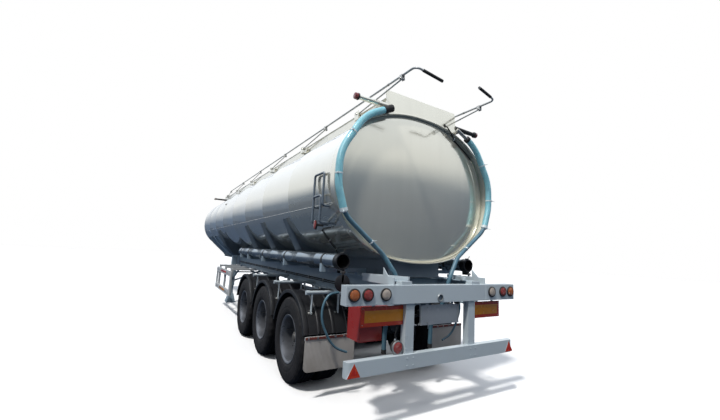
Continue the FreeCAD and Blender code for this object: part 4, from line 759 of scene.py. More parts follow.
# Mudguards: one section swept round each axle
axle_stations = (1.567, 2.877, 4.187)
guard_skin = 0.612
guard_end = 0.608
guard_angles = [math.radians(14 + 150 * step / 60) for step in range(61)]
guard_half_section = (
    (0.655, 0.604), (0.655, 0.6185), (0.660, 0.6215), (0.676, 0.6215), (0.684, 0.614), (0.760, 0.6125),
    (0.834, 0.612), (0.842, 0.6195), (0.848, 0.621), (0.866, 0.621), (0.872, 0.6195), (0.880, 0.612),
    (1.023, 0.612), (1.031, 0.6195), (1.037, 0.621), (1.055, 0.621), (1.061, 0.6195), (1.069, 0.612),
    (1.178, 0.612), (1.187, 0.620), (1.195, 0.6215), (1.240, 0.6215), (1.2465, 0.619), (1.248, 0.612),
    (1.248, 0.578), (1.246, 0.5762), (1.2435, 0.578), (1.2425, 0.606), (1.192, 0.6075), (1.063, 0.6055),
    (1.048, 0.6075), (0.874, 0.6055), (0.857, 0.6075), (0.682, 0.6055), (0.664, 0.6075), (0.660, 0.604),
)


def ring_sweep(profile, x, z, angles):
    """A closed (y, radius) section swept about an axle, with flat ends."""
    points = [(x + math.cos(angle) * radius, y, z + math.sin(angle) * radius)
              for angle in angles for y, radius in profile]
    return capped(points, len(angles), len(profile))


def mudguards():
    pile = Pile()
    for station in axle_stations:
        pile.both(ring_sweep(guard_half_section, X(station), wheel_height, guard_angles), "moulded")
        # Rolled ends across the guard
        for angle in (guard_angles[0], guard_angles[-1]):
            x = X(station) + math.cos(angle) * guard_end
            z = wheel_height + math.sin(angle) * guard_end
            pile.both(sweep([(x, 0.657, z), (x, 1.246, z)], 0.009, 12), "moulded")
        # Clamp bolts over the carrying arm
        angle = math.acos(-0.47 / guard_skin)
        outward = (math.cos(angle), 0, math.sin(angle))
        x = X(station) + outward[0] * guard_skin
        z = wheel_height + outward[2] * guard_skin
        pile.bolts([(x, y, z) for y in (0.762, 0.800, 1.110, 1.148)], outward, 0.011, 0.007)
    pile.make("mudguard_shells", "trailer", ["mudguards"])


mudguards()

# Mudflaps: a sheet with round lower corners and a brown strip under its bolts
flap_station = 0.900
flap_top = 0.692
flap_thick = 0.008
strip_thick = 0.006


def flap_outline(y0, y1, z0, corner, x):
    outline = [(x, y0, flap_top)]
    for centre_y, start in ((y0 + corner, math.pi), (y1 - corner, 1.5 * math.pi)):
        for step in range(9):
            angle = start + math.pi * half * step / 8
            outline.append((x, centre_y + math.cos(angle) * corner, z0 + corner + math.sin(angle) * corner))
    return outline + [(x, y1, flap_top)]


def mudflaps():
    pile = Pile()
    x = X(flap_station)
    strip_x = x - strip_thick
    pile.both(extruded(flap_outline(0.610, 1.250, 0.312, 0.055, x), (flap_thick, 0, 0)), "flap")
    pile.both(extruded(flap_outline(0.612, 1.248, 0.664, 0.002, strip_x), (strip_thick, 0, 0)), "strip")
    pile.bolts([(strip_x, 0.650 + index * 0.112, 0.678) for index in range(6)], rearwards, 0.010, 0.006)
    pile.make("mudflap_sheets", "trailer", ["mudflaps"])


mudflaps()

# Hose tubes: rolled tube, clamp bands, black mouth ring and the bracket of the lid's hinge
tube_y, tube_z = 1.010, 1.566
tube_radius = 0.084
tube_steps = 48
tube_start = 0.560
tube_joint_gap = 0.65
tube_joint_limit = 5.78
tube_end_outline = ((5.812, tube_radius), (5.818, 0.081), (5.820, 0.070), (5.820, 0.0), (5.814, 0.0),
                    (5.814, 0.078))
band_stations = (0.960, 2.370, 3.640, 4.810, 5.530)
band_outline = ((0, 0.084), (0, 0.0905), (0.003, 0.0912), (0.008, 0.0895), (0.026, 0.0895), (0.031, 0.0912),
                (0.034, 0.0905), (0.034, 0.084))
mouth_outline = (
    (0.558, 0.0775), (0.557, 0.082), (0.558, 0.090), (0.562, 0.092), (0.572, 0.092), (0.576, 0.089),
    (0.640, 0.089), (0.644, 0.092), (0.649, 0.092), (0.650, 0.084), (0.64, 0.0775),
)
latch_route = ((0.570, 0.100), (0.548, 0.118), (0.540, 0.135))
pin_x = X(0.549)
pin_z = 1.448


def hose_tubes():
    pile = Pile()

    def round_tube(profile, finish, closed=False):
        pile.both(turned(profile, (X(0), tube_y, tube_z), forwards, tube_steps, closed), finish)

    profile = [(tube_start, 0.0785), (tube_start, 0.0835), (tube_start + 0.002, tube_radius)]
    for run in range(1, 9):
        joint = tube_start + tube_joint_gap * run
        if joint < tube_joint_limit:
            profile += [(joint - 0.004, tube_radius), (joint - 0.002, 0.0852), (joint + 0.002, 0.0852),
                        (joint + 0.004, tube_radius)]
    round_tube(profile + list(tube_end_outline), "tube")
    round_tube([(tube_start, 0.0785), tube_end_outline[-1]], "dark_steel")
    round_tube(mouth_outline, "moulded", True)
    for station in band_stations:
        round_tube([(station + run, radius) for run, radius in band_outline], "dark_steel")
        x = X(station + 0.017)
        for cheek in sides:
            y = tube_y + cheek * 0.060
            pile.both(sweep([(x, y, tube_z - 0.068), (x, y, tube_z - 0.035)], 0.007, 8), "zinc")
    # Latch over the mouth and the lugs of the hinge under it
    pile.both(block(X(0.566), X(0.610), tube_y - 0.016, tube_y + 0.016, tube_z + 0.088, tube_z + 0.102),
              "black")
    latch = [(X(station), tube_y, tube_z + rise) for station, rise in latch_route]
    pile.both(sweep(latch, 0.004, 8), "zinc")
    for cheek in sides:
        inner = tube_y + cheek * 0.018
        outer = inner + cheek * 0.008
        pile.both(block(X(0.5355), X(0.650), inner, outer, 1.435, 1.461, 0.002), "black")
        pile.both(block(X(0.560), X(0.650), inner, outer, 1.435, 1.486, 0.002), "black")
    pile.both(sweep([(pin_x, tube_y - 0.030, pin_z), (pin_x, tube_y + 0.030, pin_z)], 0.006, 16), "zinc")
    pile.make("hose_tube_shells", "trailer", ["hose_tubes"])


lid_outline = ((0, 0), (0, 0.090), (0.002, 0.0935), (0.006, 0.094), (0.011, 0.0935), (0.0125, 0.088),
               (0.0125, 0.074), (0.0075, 0.070), (0.0075, 0))


def hose_lids():
    x = X(0.543)
    shapes = [
        (turned(lid_outline, (x, tube_y, 1.330), forwards, tube_steps), "moulded"),
        (block(x, X(0.5552), tube_y - 0.013, tube_y + 0.013, 1.336, pin_z, 0.002), "black"),
        (collar((pin_x, tube_y, pin_z), leftwards, 0.013, 0.0066, 0.0125, 24, True), "black"),
        (block(X(0.5545), X(0.5592), tube_y - 0.014, tube_y + 0.014, 1.248, 1.268, 0.001), "zinc"),
    ]
    for side in sides:
        name = "hose_tube_lid_" + side_names[side]
        pile = Pile()
        for shape, finish in shapes:
            pile.put(shape if side > 0 else mirrored(shape), finish)
        pile.make(name + "_cap", name, [name])


hose_tubes()
hose_lids()

# Lamps: rubber ring, housing and ribbed lens. The colours run inwards from the outer lamp.
lamp_ys = (1.168, 1.016, 0.805)
lamp_tones = ("amber", "lamp_red", "clear")
lamp_height = 1.273
lamp_radius = 0.064
lamp_steps = 48
drawn_radius = 0.060
panel_face = X(-0.004)
fog_place = (X(0.095), 0.600, 0.735)
bezel_outline = ((0, 0), (0, 0.060), (0.011, 0.060), (0.0155, 0.0585), (0.017, 0.0550), (0.016, 0.0495),
                 (0.010, 0.0480), (0.010, 0))
lens_ribs = ((0.042, 0.0215), (0.035, 0.0240), (0.028, 0.0258), (0.020, 0.0270), (0.011, 0.0276))


def round_lamp(pile, place, tone, radius, ring="rubber"):
    share = radius / drawn_radius
    dome = [(0.009, 0.0478), (0.016, 0.0474), (0.0185, 0.0460)]
    for size, run in lens_ribs:
        dome += [(run - 0.0004, size + 0.0011), (run + 0.0006, size), (run - 0.0002, size - 0.0011)]
    dome.append((0.028, 0))
    for outline, finish in ((bezel_outline, ring), (dome, tone)):
        pile.put(turned([(run, size * share) for run, size in outline], place, rearwards, lamp_steps), finish)


def rear_lamps():
    pile = Pile()
    for side in sides:
        for y, tone in zip(lamp_ys, lamp_tones):
            round_lamp(pile, (panel_face, side * y, lamp_height), tone, lamp_radius)
    # Fog lamp on its bracket, and the small lamp over the number plate
    x, y, z = fog_place
    pile.put(turned([(0, 0), (0, 0.054), (0.012, 0.062), (0.046, 0.066), (0.052, 0.064), (0.052, 0)],
                    fog_place, rearwards, lamp_steps), "black")
    round_lamp(pile, (X(0.046), y, z), "lamp_red", 0.069, "galvanised")
    pile.put(block(x, X(0.103), 0.5232, 0.640, 0.715, 0.755, 0.002), "zinc")
    pile.put(hex_bolt((x, 0.535, z), rearwards, 0.009, 0.007), "zinc")
    pile.put(block(X(0.035), X(0.085), -0.287, -0.237, 1.141, 1.1708, 0.004), "rubber")
    pile.put(block(X(0.042), X(0.078), -0.281, -0.243, 1.138, 1.142, 0.001), "clear")
    pile.make("lamp_set", "trailer", ["rear_lamps"])


rear_lamps()

# Marking plates with an amber middle, and the bare number plate
plate_y0, plate_y1 = 0.475, 1.040
plate_z0, plate_z1 = 0.954, 1.150
number_half = 0.282
number_z0, number_z1 = 0.926, 1.138
hanger_top = 1.1708
hanger_half = 0.020


def rear_plates():
    pile = Pile()
    x = X(0.066)
    pile.both(block(x, x + 0.004, plate_y0, plate_y1, plate_z0, plate_z1, 0.0008), "plate_red")
    y0, y1, z0, z1 = plate_y0 + 0.042, plate_y1 - 0.042, plate_z0 + 0.040, plate_z1 - 0.040
    pile.both(block(x - 0.0009, x, y0, y1, z0, z1, 0.0003), "plate_amber")
    rivet = [(0, 0.005), (0.0015, 0.0045), (0.0025, 0.002), (0.0027, 0)]
    for y in (plate_y0 + 0.020, plate_y1 - 0.020):
        for z in (plate_z0 + 0.020, plate_z1 - 0.020):
            pile.both(turned(rivet, (x, y, z), rearwards, 12), "zinc")
    for y in (plate_y0 + 0.14125, plate_y1 - 0.14125):
        pile.both(block(x + 0.004, x + 0.008, y - hanger_half, y + hanger_half, plate_z0, hanger_top, 0.0008),
                  "galvanised")
    x = X(0.060)
    pile.put(block(x, x + 0.004, -number_half, number_half, number_z0, number_z1, 0.0008), "plate_white")
    for side in sides:
        pile.put(block(x - 0.009, x + 0.018, side * number_half, side * 0.286, number_z0, number_z1, 0.001),
                 "tape_white")
        y = side * 0.190
        pile.put(block(x + 0.004, x + 0.008, y - hanger_half, y + hanger_half, number_z0, hanger_top, 0.0008),
                 "galvanised")
        pile.bolts([(x, y, z) for z in (0.950, 1.114)], rearwards, 0.007, 0.004, pair=False)
    pile.make("rear_plate_set", "trailer", ["rear_plates"])


rear_plates()

# Trim on the lamp beam and bumper: panel screws, the grommet and the reflecting triangles
grommet_place = (X(0), 0.059, 1.221)
grommet_outline = (
    (0, 0.034), (0.0004, 0.043), (0.004, 0.044), (0.008, 0.041), (0.009, 0.036), (0.007, 0.033),
    (-0.008, 0.033),
)
triangle_y = 1.130
triangle_foot = 0.532
triangle_third = 0.128 / 3
triangle_half = 0.072


def beam_trim():
    pile = Pile()
    screws = [(panel_face, y, z) for y in (0.722, 0.910, 1.092, 1.234) for z in (1.188, 1.345)]
    pile.bolts(screws, rearwards, 0.005, 0.003, "beam")
    pile.put(turned(grommet_outline, grommet_place, rearwards, 40), "galvanised")
    pile.put(turned([(-0.0095, 0), (-0.0095, 0.0335)], grommet_place, rearwards, 40), "tube_blue")
    pile.bolts([(X(0.055), 0.1 + index * 0.14, 1.361) for index in range(9)], upwards, 0.006, 0.004, "beam")
    pile.make("beam_screws", "trailer")


def triangles():
    pile = Pile()
    middle = triangle_foot + triangle_third
    for side in sides:
        y = side * triangle_y
        for size, lift, tone in ((1.0, 0.0, "plate_red"), (0.52, 0.0007, "triangle")):
            x = X(-0.0112) - lift
            outline = [(x, y - triangle_half * size, middle - triangle_third * size),
                       (x, y + triangle_half * size, middle - triangle_third * size),
                       (x, y, middle + 2 * triangle_third * size)]
            pile.put(extruded(outline, (-0.0008, 0, 0)), tone)
    pile.make("triangle_faces", "trailer")
    bolts = Pile()
    for y in (0.428, 0.508):
        places = [(X(-0.008), y, z) for z in (0.560, 0.634)] + [(X(0.016), y, z) for z in (0.720, 1.120)]
        bolts.bolts(places, rearwards, 0.007, 0.004, "beam")
    bolts.make("bumper_bolts", "trailer")


beam_trim()
triangles()

# Reflecting tape on the side guards' boards
board_face = 1.190
tape_half = 0.026
tape_lengths = (0.62, 0.78, 0.62)


def guard_tape():
    pile = Pile()
    for z, middle_tone in ((1.0075, "plate_red"), (0.5575, "plate_amber")):
        start = 6.02
        for length, tone in zip(tape_lengths, ("tape_white", middle_tone, "tape_white")):
            strip = (X(start), X(start + length), board_face, 1.1906, z - tape_half, z + tape_half, 0.0002)
            pile.both(block(*strip), tone)
            start += length
    places = [(X(station), board_face, z) for station in (6.15, 7.03, 7.90)
              for z in (0.525, 0.590, 0.975, 1.040)]
    pile.bolts(places, leftwards, 0.010, 0.006)
    pile.make("guard_tape", "trailer")


guard_tape()

# Drain hoses: a thick hose tied to the rear rim, and a thinner one down past the chassis
hose_radius = 0.042
tail_radius = 0.027
spigot_radius = 0.024
hose_x = X(0.383)
hose_route = ((0.560, 3.440), (0.925, 3.264), (1.222, 2.770), (1.222, 2.400), (1.133, 2.116))
right_hose_start = (0.745, 3.351)
tail_ring = ((1.190, 2.298), (1.120, 2.075), (0.600, 1.670))
tail_foot = ((0.330, 0.400, 1.390), (0.420, 0.380, 1.050), (0.605, 0.365, 0.860), (0.620, 0.365, 0.500))
tie_places = ((1.072, 3.016), (1.222, 2.515), (1.112, 2.075))
tail_tie_place = (0.765, 1.799)
reducer_outline = (
    (-0.030, 0.0415), (-0.030, 0.0445), (0.004, 0.0445), (0.010, 0.034), (0.022, 0.030), (0.022, 0.026),
)


def nearest(path, place):
    """The point of a path nearest to a place, and the path's direction there."""
    best = None
    for before, after in zip(path, path[1:]):
        run = after - before
        share = min(1, max(0, (place - before).dot(run) / run.length_squared))
        point = before + run * share
        if best is None or (point - place).length < best[0]:
            best = ((point - place).length, point, run.normalized())
    return best[1], best[2]


def tie_ring(pile, path, place, radius, outward):
    point, run = nearest(path, place)
    pile.put(collar(point, run, 0.008, radius - 0.001, radius + 0.0028, 36), "tie")
    spoke = (outward - run * outward.dot(run)).normalized()
    head = point + spoke * (radius + 0.004)
    pile.put(sweep([head - run * 0.010, head + run * 0.010], 0.009, 8), "tie")
    pile.put(sweep([head, head + spoke * 0.045 + run * 0.012], [0.0045, 0.0025], 6), "tie")


def drain_hose(pile, side):
    def at(y, z):
        return Vector((hose_x, side * y, z))

    ring = [at(y, z) for y, z in hose_route]
    start = ring[0] if side > 0 else at(*right_hose_start)
    path = bent([start] + ring[1:], 0.600, 16)
    pile.put(sweep(path, hose_radius, 28), "hose")
    run = (ring[1] - ring[0]).normalized()
    sleeve = 0.130 if side > 0 else 0.040
    sleeve_radius = hose_radius + 0.004
    pile.put(sweep([start - run * 0.0015, start, start + run * sleeve, start + run * (sleeve + 0.0015)],
                   [hose_radius, sleeve_radius, sleeve_radius, hose_radius], 28), "rubber")
    if side < 0:
        pile.put(sweep([ring[0], start + run * 0.03], spigot_radius, 20), "zinc")
    spigot = ring[0] + Vector((0, side * spigot_radius, -spigot_radius))
    pile.put(sweep([spigot, spigot + Vector((0.075, 0, 0))], spigot_radius, 20), "zinc")
    tail = [at(y, z) for y, z in tail_ring]
    tail = bent(tail + [Vector((X(station), side * y, z)) for station, y, z in tail_foot], 0.350, 12)
    pile.put(sweep(tail, tail_radius, 24), "thin_hose")
    end = tail[-1]
    last = (end - tail[-2]).normalized()
    pile.put(sweep([end - last * 0.05, end - last * 0.049, end - last * 0.001, end],
                   [tail_radius, 0.0295, 0.0295, 0.028], 20), "rubber")
    fall = (ring[-1] - ring[-2]).normalized()
    pile.put(turned(reducer_outline, ring[-1], fall, 32), "tie")
    for y, z in tie_places:
        tie_ring(pile, path, at(y, z), hose_radius, Vector((-1, side * 0.8, 0.2)))
    tie_ring(pile, tail, at(*tail_tie_place), tail_radius, Vector((-1, side * 0.3, 0.8)))
    # The flat strap that holds the tail to the beam
    top = Vector((X(0.700), side * 0.455, 1.130))
    foot = Vector((X(0.605), side * 0.3785, 0.860))
    along = (top - foot).normalized()
    across = Vector(leftwards).cross(along).normalized() * 0.015
    lift = along.cross(across).normalized() * 0.003
    corners = [foot - across - lift, foot + across - lift, foot + across + lift, foot - across + lift]
    pile.put(extruded(corners, top - foot), "zinc")
    point, run = nearest(tail, foot)
    pile.put(collar(point, run, 0.015, 0.0265, 0.0295, 28), "zinc")


def drain_hoses():
    pile = Pile()
    for side in sides:
        drain_hose(pile, side)
    pile.make("drain_hose_set", "trailer", ["drain_hoses"])


drain_hoses()

# Rubber grips on the handrails' hooks, and the clips along the rails
rail_y = 0.652
rail_z = 3.702
hook_tips = {1: 3.622, -1: 3.742}
hook_tip_y = 0.300
grip_start_y = 0.560
clip_stations = (10.5, 8.4, 6.3, 4.2, 2.1, 0.35)


def rail_grips():
    for side in sides:
        pile = Pile()
        corner = Vector((X(-0.165), side * rail_y, rail_z))
        tip = Vector((X(-0.215), side * hook_tip_y, hook_tips[side]))
        run = (tip - corner).normalized()
        start = corner + (tip - corner) * (rail_y - grip_start_y) / (rail_y - hook_tip_y)
        pile.put(sweep([start - run * 0.002, start, tip - run * 0.004, tip + run * 0.0015],
                       [0.0145, 0.0178, 0.0178, 0.012], 20), "rubber")
        for station in clip_stations:
            pile.put(collar((X(station), side * rail_y, rail_z), forwards, 0.012, 0.0128, 0.0155, 20), "zinc")
        pile.make("rail_grip_" + side_names[side], "handrail_" + side_names[side])


rail_grips()

# Marker lamps: tapered stalks with a lens at the end, and oval lamps on the flanks
stalk_root = 0.5965
stalk_end = 0.985
stalk_height = 3.492
oval_width = 0.030
oval_height = 0.055
oval_steps = 40
oval_levels = ((0.93, 0.014), (0.92, 0.020), (0.84, 0.026), (0.66, 0.029), (0.4, 0.030), (0.1, 0.030))


def stalk_lamp(pile, station, side, arm, lens_tone):
    root = Vector((X(station), side * stalk_root, stalk_height))
    out = Vector((0, side, 0))
    length = stalk_end - stalk_root
    pile.put(turned([(0, 0), (0, 0.036), (0.03, 0.035), (length - 0.06, 0.029), (length - 0.02, 0.029),
                     (length, 0.032), (length, 0)], root, out, 28), arm)
    lamp_root = root + out * length
    pile.put(turned([(0, 0), (0, 0.036), (0.006, 0.0415), (0.020, 0.042), (0.022, 0.040), (0.022, 0)],
                    lamp_root, out, 36), "rubber")
    pile.put(turned([(0.020, 0.0395), (0.050, 0.0395), (0.058, 0.035), (0.062, 0.026), (0.062, 0)],
                    lamp_root, out, 36), lens_tone)


def oval(face, share, stand):
    return [(face.x + oval_width * share * cosine, face.y + stand, face.z + oval_height * share * sine)
            for cosine, sine in around(oval_steps)]


def flank_lamp(pile, side):
    face = Vector((X(0.800), side * 1.262, 1.965))
    pile.put(extruded(oval(face, 1, 0), (0, side * 0.014, 0)), "rubber")
    points = []
    for share, stand in oval_levels:
        points += oval(face, share, side * stand)
    count = len(points)
    faces = grid(len(oval_levels), oval_steps, False) + [tuple(reversed(range(count - oval_steps, count)))]
    pile.put((points, faces), "marker_red")
    pile.put(block(X(0.789), X(0.811), side * 1.175, side * 1.264, 1.954, 1.976, 0.002), "rubber")


def marker_lamps():
    pile = Pile()
    for side in sides:
        # The rear stalks are alike; the left one is painted cream as if in sun and the right one black as if
        # in shade: painted light and shade.
        stalk_lamp(pile, 0.470, side, "tank" if side > 0 else "rubber", "marker_red")
        stalk_lamp(pile, 11.700, side, "rubber", "clear")
        flank_lamp(pile, side)
    pile.make("marker_lamp_set", "trailer", ["marker_lamps"])


marker_lamps()

# Free hoses at the rear mudguards: the route, as (y, z, station), is the same on both sides
free_route = (
    (0.905, 1.195, 0.815), (1.010, 1.195, 0.815), (1.085, 1.110, 0.812), (1.115, 0.990, 0.808),
    (1.100, 0.860, 0.805), (1.045, 0.745, 0.803), (0.975, 0.630, 0.801), (0.880, 0.552, 0.800),
    (0.765, 0.515, 0.800),
)
free_diameter = 0.028


def free_hose(side):
    name = "free_hose_" + side_names[side]
    curve = bpy.data.curves.new(name + "_line", "CURVE")
    curve.dimensions = "3D"
    line = curve.splines.new("NURBS")
    line.points.add(len(free_route) - 1)
    for point, (y, z, station) in zip(line.points, free_route):
        point.co = (X(station), side * y, z, 1)
    line.order_u = 3
    line.use_endpoint_u = True
    line.resolution_u = 14
    curve.bevel_depth = free_diameter * half
    curve.bevel_resolution = 6
    curve.use_fill_caps = True
    curve.materials.append(paints["thin_hose"])
    piece = bpy.data.objects.new(name + "_cord", curve)
    bpy.context.scene.collection.objects.link(piece)
    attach(piece, "trailer")
    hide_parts(name)
    y, z, station = free_route[0]


free_hose(1)
free_hose(-1)

# Cables: over the rear head, down the left flank, coiled behind the plates and up from the fog lamp
cable_lift = 0.0022
head_cable = 0.009
flank_cable = 0.006
cable_bend = 0.030
loop_middle = 0.318
loop_corners = (
    (0.322, 1.150), (0.371, 1.150), (0.371, 0.930), (0.265, 0.930), (0.265, 1.150), (0.314, 1.150),
)
loop_x = 0.084
flank_route = ((0.800, -34), (1.128, -35), (1.155, -40.5), (1.180, -46), (1.255, -51.5), (1.330, -57))


def on_dish(y, z, stand):
    rise = z - tank_middle
    return Vector((X(0.405 + (y * y + rise * rise) / (2 * dish_radius)) - stand, y, z))


def routed(*places):
    """Points from (station, y, z) places."""
    return [Vector((X(station), y, z)) for station, y, z in places]


def head_cable_shapes(pile):
    head = routed((0.452, -0.385, 3.482), (0.421, -0.410, 3.450), (0.421, -0.470, 3.395))
    for y, z in ((-0.600, 3.310), (-0.820, 3.190), (-0.962, 3.104)):
        head.append(on_dish(y, z, head_cable + cable_lift))
    head = bent(head, cable_bend, 5)
    pile.put(sweep(head, head_cable, 12), "rubber")
    pile.put(sweep([head[0] - Vector((0.004, 0, 0)), head[0] + Vector((0.004, 0, 0))], 0.020, 24), "rubber")
    clip, run = nearest(head, on_dish(-0.577, 3.318, 0.010))
    pile.put(collar(clip, run, 0.006, 0.0088, 0.0115, 20), "tie")
    pad = clip + Vector(rearwards).cross(run).normalized() * 0.020 + Vector((0.006, 0, 0))
    pile.put(sweep([clip, pad], 0.005, 8), "tie")
    button = [(0, 0), (0, 0.014), (0.004, 0.013), (0.005, 0)]
    pile.put(turned(button, pad + Vector((0.003, 0, 0)), rearwards, 20), "tie")


def flank_cable_shapes(pile):
    path = []
    for station, degrees in flank_route:
        path += routed((station, *section(math.radians(degrees), -(flank_cable + cable_lift))))
    path = bent(path + routed((1.400, 0.560, 1.400)), cable_bend, 5)
    pile.put(sweep(path, flank_cable, 10), "rubber")
    for station in (0.900, 1.050, 1.180, 1.290):
        clip, run = nearest(path, min(path, key=lambda point: abs(point.x - X(station))))
        pile.put(collar(clip, run, 0.007, flank_cable, 0.0082, 16), "tie")


def cables():
    pile = Pile()
    head_cable_shapes(pile)
    flank_cable_shapes(pile)
    # The oval loop of spare cable on its hook: one strand in CAD, two more laid beside it here
    for shift, radius in ((0, 0.008), (-0.011, 0.0055), (0.012, 0.0055)):
        ring = []
        for y, z in loop_corners:
            ring += routed((loop_x + shift * half, loop_middle + (y - loop_middle) * (1 - abs(shift) * 3), z))
        pile.put(sweep(bent(ring, 0.040, 7), radius, 10), "tape_white")
    pile.put(sweep(routed((loop_x, 0.322, 1.150), (loop_x, 0.322, 1.1705)), 0.008, 10), "tie")
    for y, z in ((0.372, 1.040), (loop_middle, 0.930)):
        pile.put(block(X(0.070), X(0.098), y - 0.011, y + 0.011, z - 0.010, z + 0.010, 0.003), "rubber")
    fog = routed((0.090, 0.600, 0.780), (0.090, 0.600, 0.860), (0.120, 0.520, 0.980), (0.120, 0.520, 1.120))
    pile.put(sweep(bent(fog, cable_bend, 5), 0.006, 10), "rubber")
    pile.put(collar((X(0.090), 0.600, 0.800), upwards, 0.012, 0.006, 0.009, 16), "tie")
    pile.make("cable_set", "trailer", ["cables"])


cables()

# Small fixings that the CAD leaves to this script
post_stations = [1.075 + 2.080 * index for index in range(6)]
post_run = 0.99538
post_foot_z = 3.566
post_head_z = 3.662
manholes = (("rear", 2.700), ("middle", 6.200), ("front", 9.700))
neck_radius = 0.255
lid_top = 3.599
dome_top = 3.625
weld_lift = 0.001
weld_rod = 0.005
valve_outline = ((0, 0), (0, 0.050), (0.006, 0.054), (0.024, 0.054), (0.030, 0.046), (0.038, 0.044),
                 (0.042, 0.030), (0.042, 0))


def rail_nuts():
    for side in sides:
        feet = Pile()
        heads = Pile()
        for station in post_stations:
            for outward in sides:
                y = side * rail_y + outward * 0.023
                axis = (0, outward, 0)
                feet.put(hex_bolt((X(station), y, post_foot_z), axis, 0.0125, 0.010), "zinc")
                heads.put(hex_bolt((X(station) - post_run, y, post_head_z), axis, 0.0125, 0.010), "zinc")
        feet.make("post_nuts_" + side_names[side], "trailer")
        heads.make("rail_nuts_" + side_names[side], "handrail_" + side_names[side])


def manhole_trim():
    necks = Pile()
    for name, station in manholes:
        x = X(station)
        weld = [(x + across, y, skin_height(y) + 0.002) for across, y in around(64, neck_radius + 0.002)]
        necks.put(sweep(weld, 0.006, 6, True), "galvanised")
        band = [(0, neck_radius), (0.002, 0.2605), (0.012, 0.2605), (0.014, neck_radius)]
        necks.put(turned(band, (x, 0, 3.538), upwards, 64), "galvanised")
        lid = Pile()
        places = [(x + across, y, lid_top) for across, y in around(12, 0.220, half)]
        lid.bolts(places, upwards, 0.012, 0.010, pair=False)
        lid.put(turned(valve_outline, (x + 0.050, 0.070, dome_top), upwards, 32), "dark_steel")
        small_valve = [(run, size * 0.6) for run, size in valve_outline]
        lid.put(turned(small_valve, (x - 0.060, -0.070, dome_top), upwards, 28), "zinc")
        rim = [(0, 0.168), (0.003, 0.166), (0.003, 0.150), (0, 0.148)]
        lid.put(turned(rim, (x, 0, dome_top), upwards, 48), "galvanised")
        lid.make("lid_trim_" + name, "manhole_lid_" + name)
    necks.make("neck_welds", "trailer")


def coaming_welds():
    low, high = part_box("coaming")
    pile = Pile()
    y = 0.5985
    z = skin_height(y) + weld_lift
    pile.both(sweep([(low.x + 0.02, y, z), (high.x - 0.02, y, z)], weld_rod, 8), "tank")
    across = [-0.59 + 0.0393 * step for step in range(31)]
    for x in (low.x, high.x):
        pile.put(sweep([(x, y, skin_height(y) + weld_lift) for y in across], weld_rod, 8), "tank")
    pile.make("coaming_welds", "trailer")


def spring_nuts():
    pile = Pile()
    places = [(X(station) + run, y, 0.803) for station in axle_stations for run in (-0.062, 0.062)
              for y in (0.496, 0.564)]
    pile.bolts(places, upwards, 0.018, 0.017)
    for station in (0.912, 2.222, 3.532, 4.842):
        for y, outward in ((0.589, 1), (0.471, -1)):
            pile.both(hex_bolt((X(station), y, 0.8705), (0, outward, 0), 0.030, 0.018), "dark_steel")
    pile.make("spring_nuts", "trailer")


def air_lines():
    pile = Pile()
    for z, radius in ((1.238, 0.009), (1.212, 0.007)):
        y = 0.537 + radius
        pile.both(sweep([(X(0.80), y, z), (X(8.20), y, z)], radius, 8), "rubber")
    for index in range(13):
        x = X(0.86 + 0.6 * index)
        pile.both(block(x - 0.009, x + 0.009, 0.535, 0.557, 1.200, 1.252, 0.002), "zinc")
    # Bands and drain plugs on the air tanks
    band = [(-0.004, 0.138), (-0.002, 0.1405), (0.002, 0.1405), (0.004, 0.138)]
    for y in (0.230, -0.230):
        for station, axis in ((5.500, rearwards), (6.260, forwards)):
            pile.put(turned(band, (X(station), y, 1.110), axis, 48), "black")
        pile.put(hex_bolt((X(5.880), y, 0.9725), downwards, 0.014, 0.026), "zinc")
    pile.make("air_lines", "trailer")


def outlet_bolts():
    pile = Pile()
    y = -0.835
    stem_outline = [(0, 0), (0, 0.024), (0.012, 0.022), (0.012, 0)]
    for station in (5.350, 5.700, 6.050):
        x = X(station)
        places = [(x + across, -0.902, 1.015 + rise) for across, rise in around(8, 0.067, half)]
        pile.bolts(places, rightwards, 0.009, 0.007, pair=False)
        pile.put(sweep(bent([(x, y, 1.088), (x, y, 1.128), (x + 0.150, y, 1.140)], 0.018), 0.007, 10), "zinc")
        pile.put(sweep([(x + 0.075, y, 1.1345), (x + 0.152, y, 1.1402)], 0.011, 14), "rubber")
        pile.put(turned(stem_outline, (x, y, 1.088), upwards, 24), "dark_steel")
    pile.make("outlet_fixings", "trailer")


def box_door():
    pile = Pile()
    pile.put(block(X(0.1884), X(0.1901), 0.712, 0.963, 0.792, 1.108, 0.0012), "red")
    pile.put(block(X(0.181), X(0.1884), 0.722, 0.746, 0.920, 0.972, 0.003), "black")
    for z in (0.835, 1.020):
        pile.put(sweep([(X(0.186), 0.968, z), (X(0.186), 0.968, z + 0.050)], 0.006, 12), "red")
    pile.make("box_door", "trailer")


def leg_bolts():
    pile = Pile()
    leg_x = X(8.400)
    places = [(leg_x + run, 0.622, z) for run in (-0.095, 0.095) for z in (1.170, 1.230, 1.300, 1.360)]
    pile.bolts(places, leftwards, 0.012, 0.010)
    places = [(leg_x + run, -0.822, z) for z in (0.850, 0.950) for run in (-0.075, 0.075)]
    pile.bolts(places, rightwards, 0.010, 0.007, pair=False)
    pile.both(collar((leg_x, 0.610, 0.900), leftwards, 0.010, 0.0, 0.034, 24), "black")
    places = [(X(11.050) + across, y, 1.288) for across, y in around(8, 0.090)]
    pile.bolts(places, downwards, 0.010, 0.006, "dark_steel", False)
    pile.make("leg_bolts", "trailer")


rail_nuts()
manhole_trim()
coaming_welds()
spring_nuts()
air_lines()
outlet_bolts()
box_door()
leg_bolts()

# Camera: the place and turn that fit the photograph
photo_width = 720
focal_pixels = 337.98
centre_pixels = (13.35, 4.55)
camera_place = (-2.8431, 2.7990, 1.6722)
camera_yaw = -0.5634
camera_pitch = 0.1410
camera_roll = -0.0508


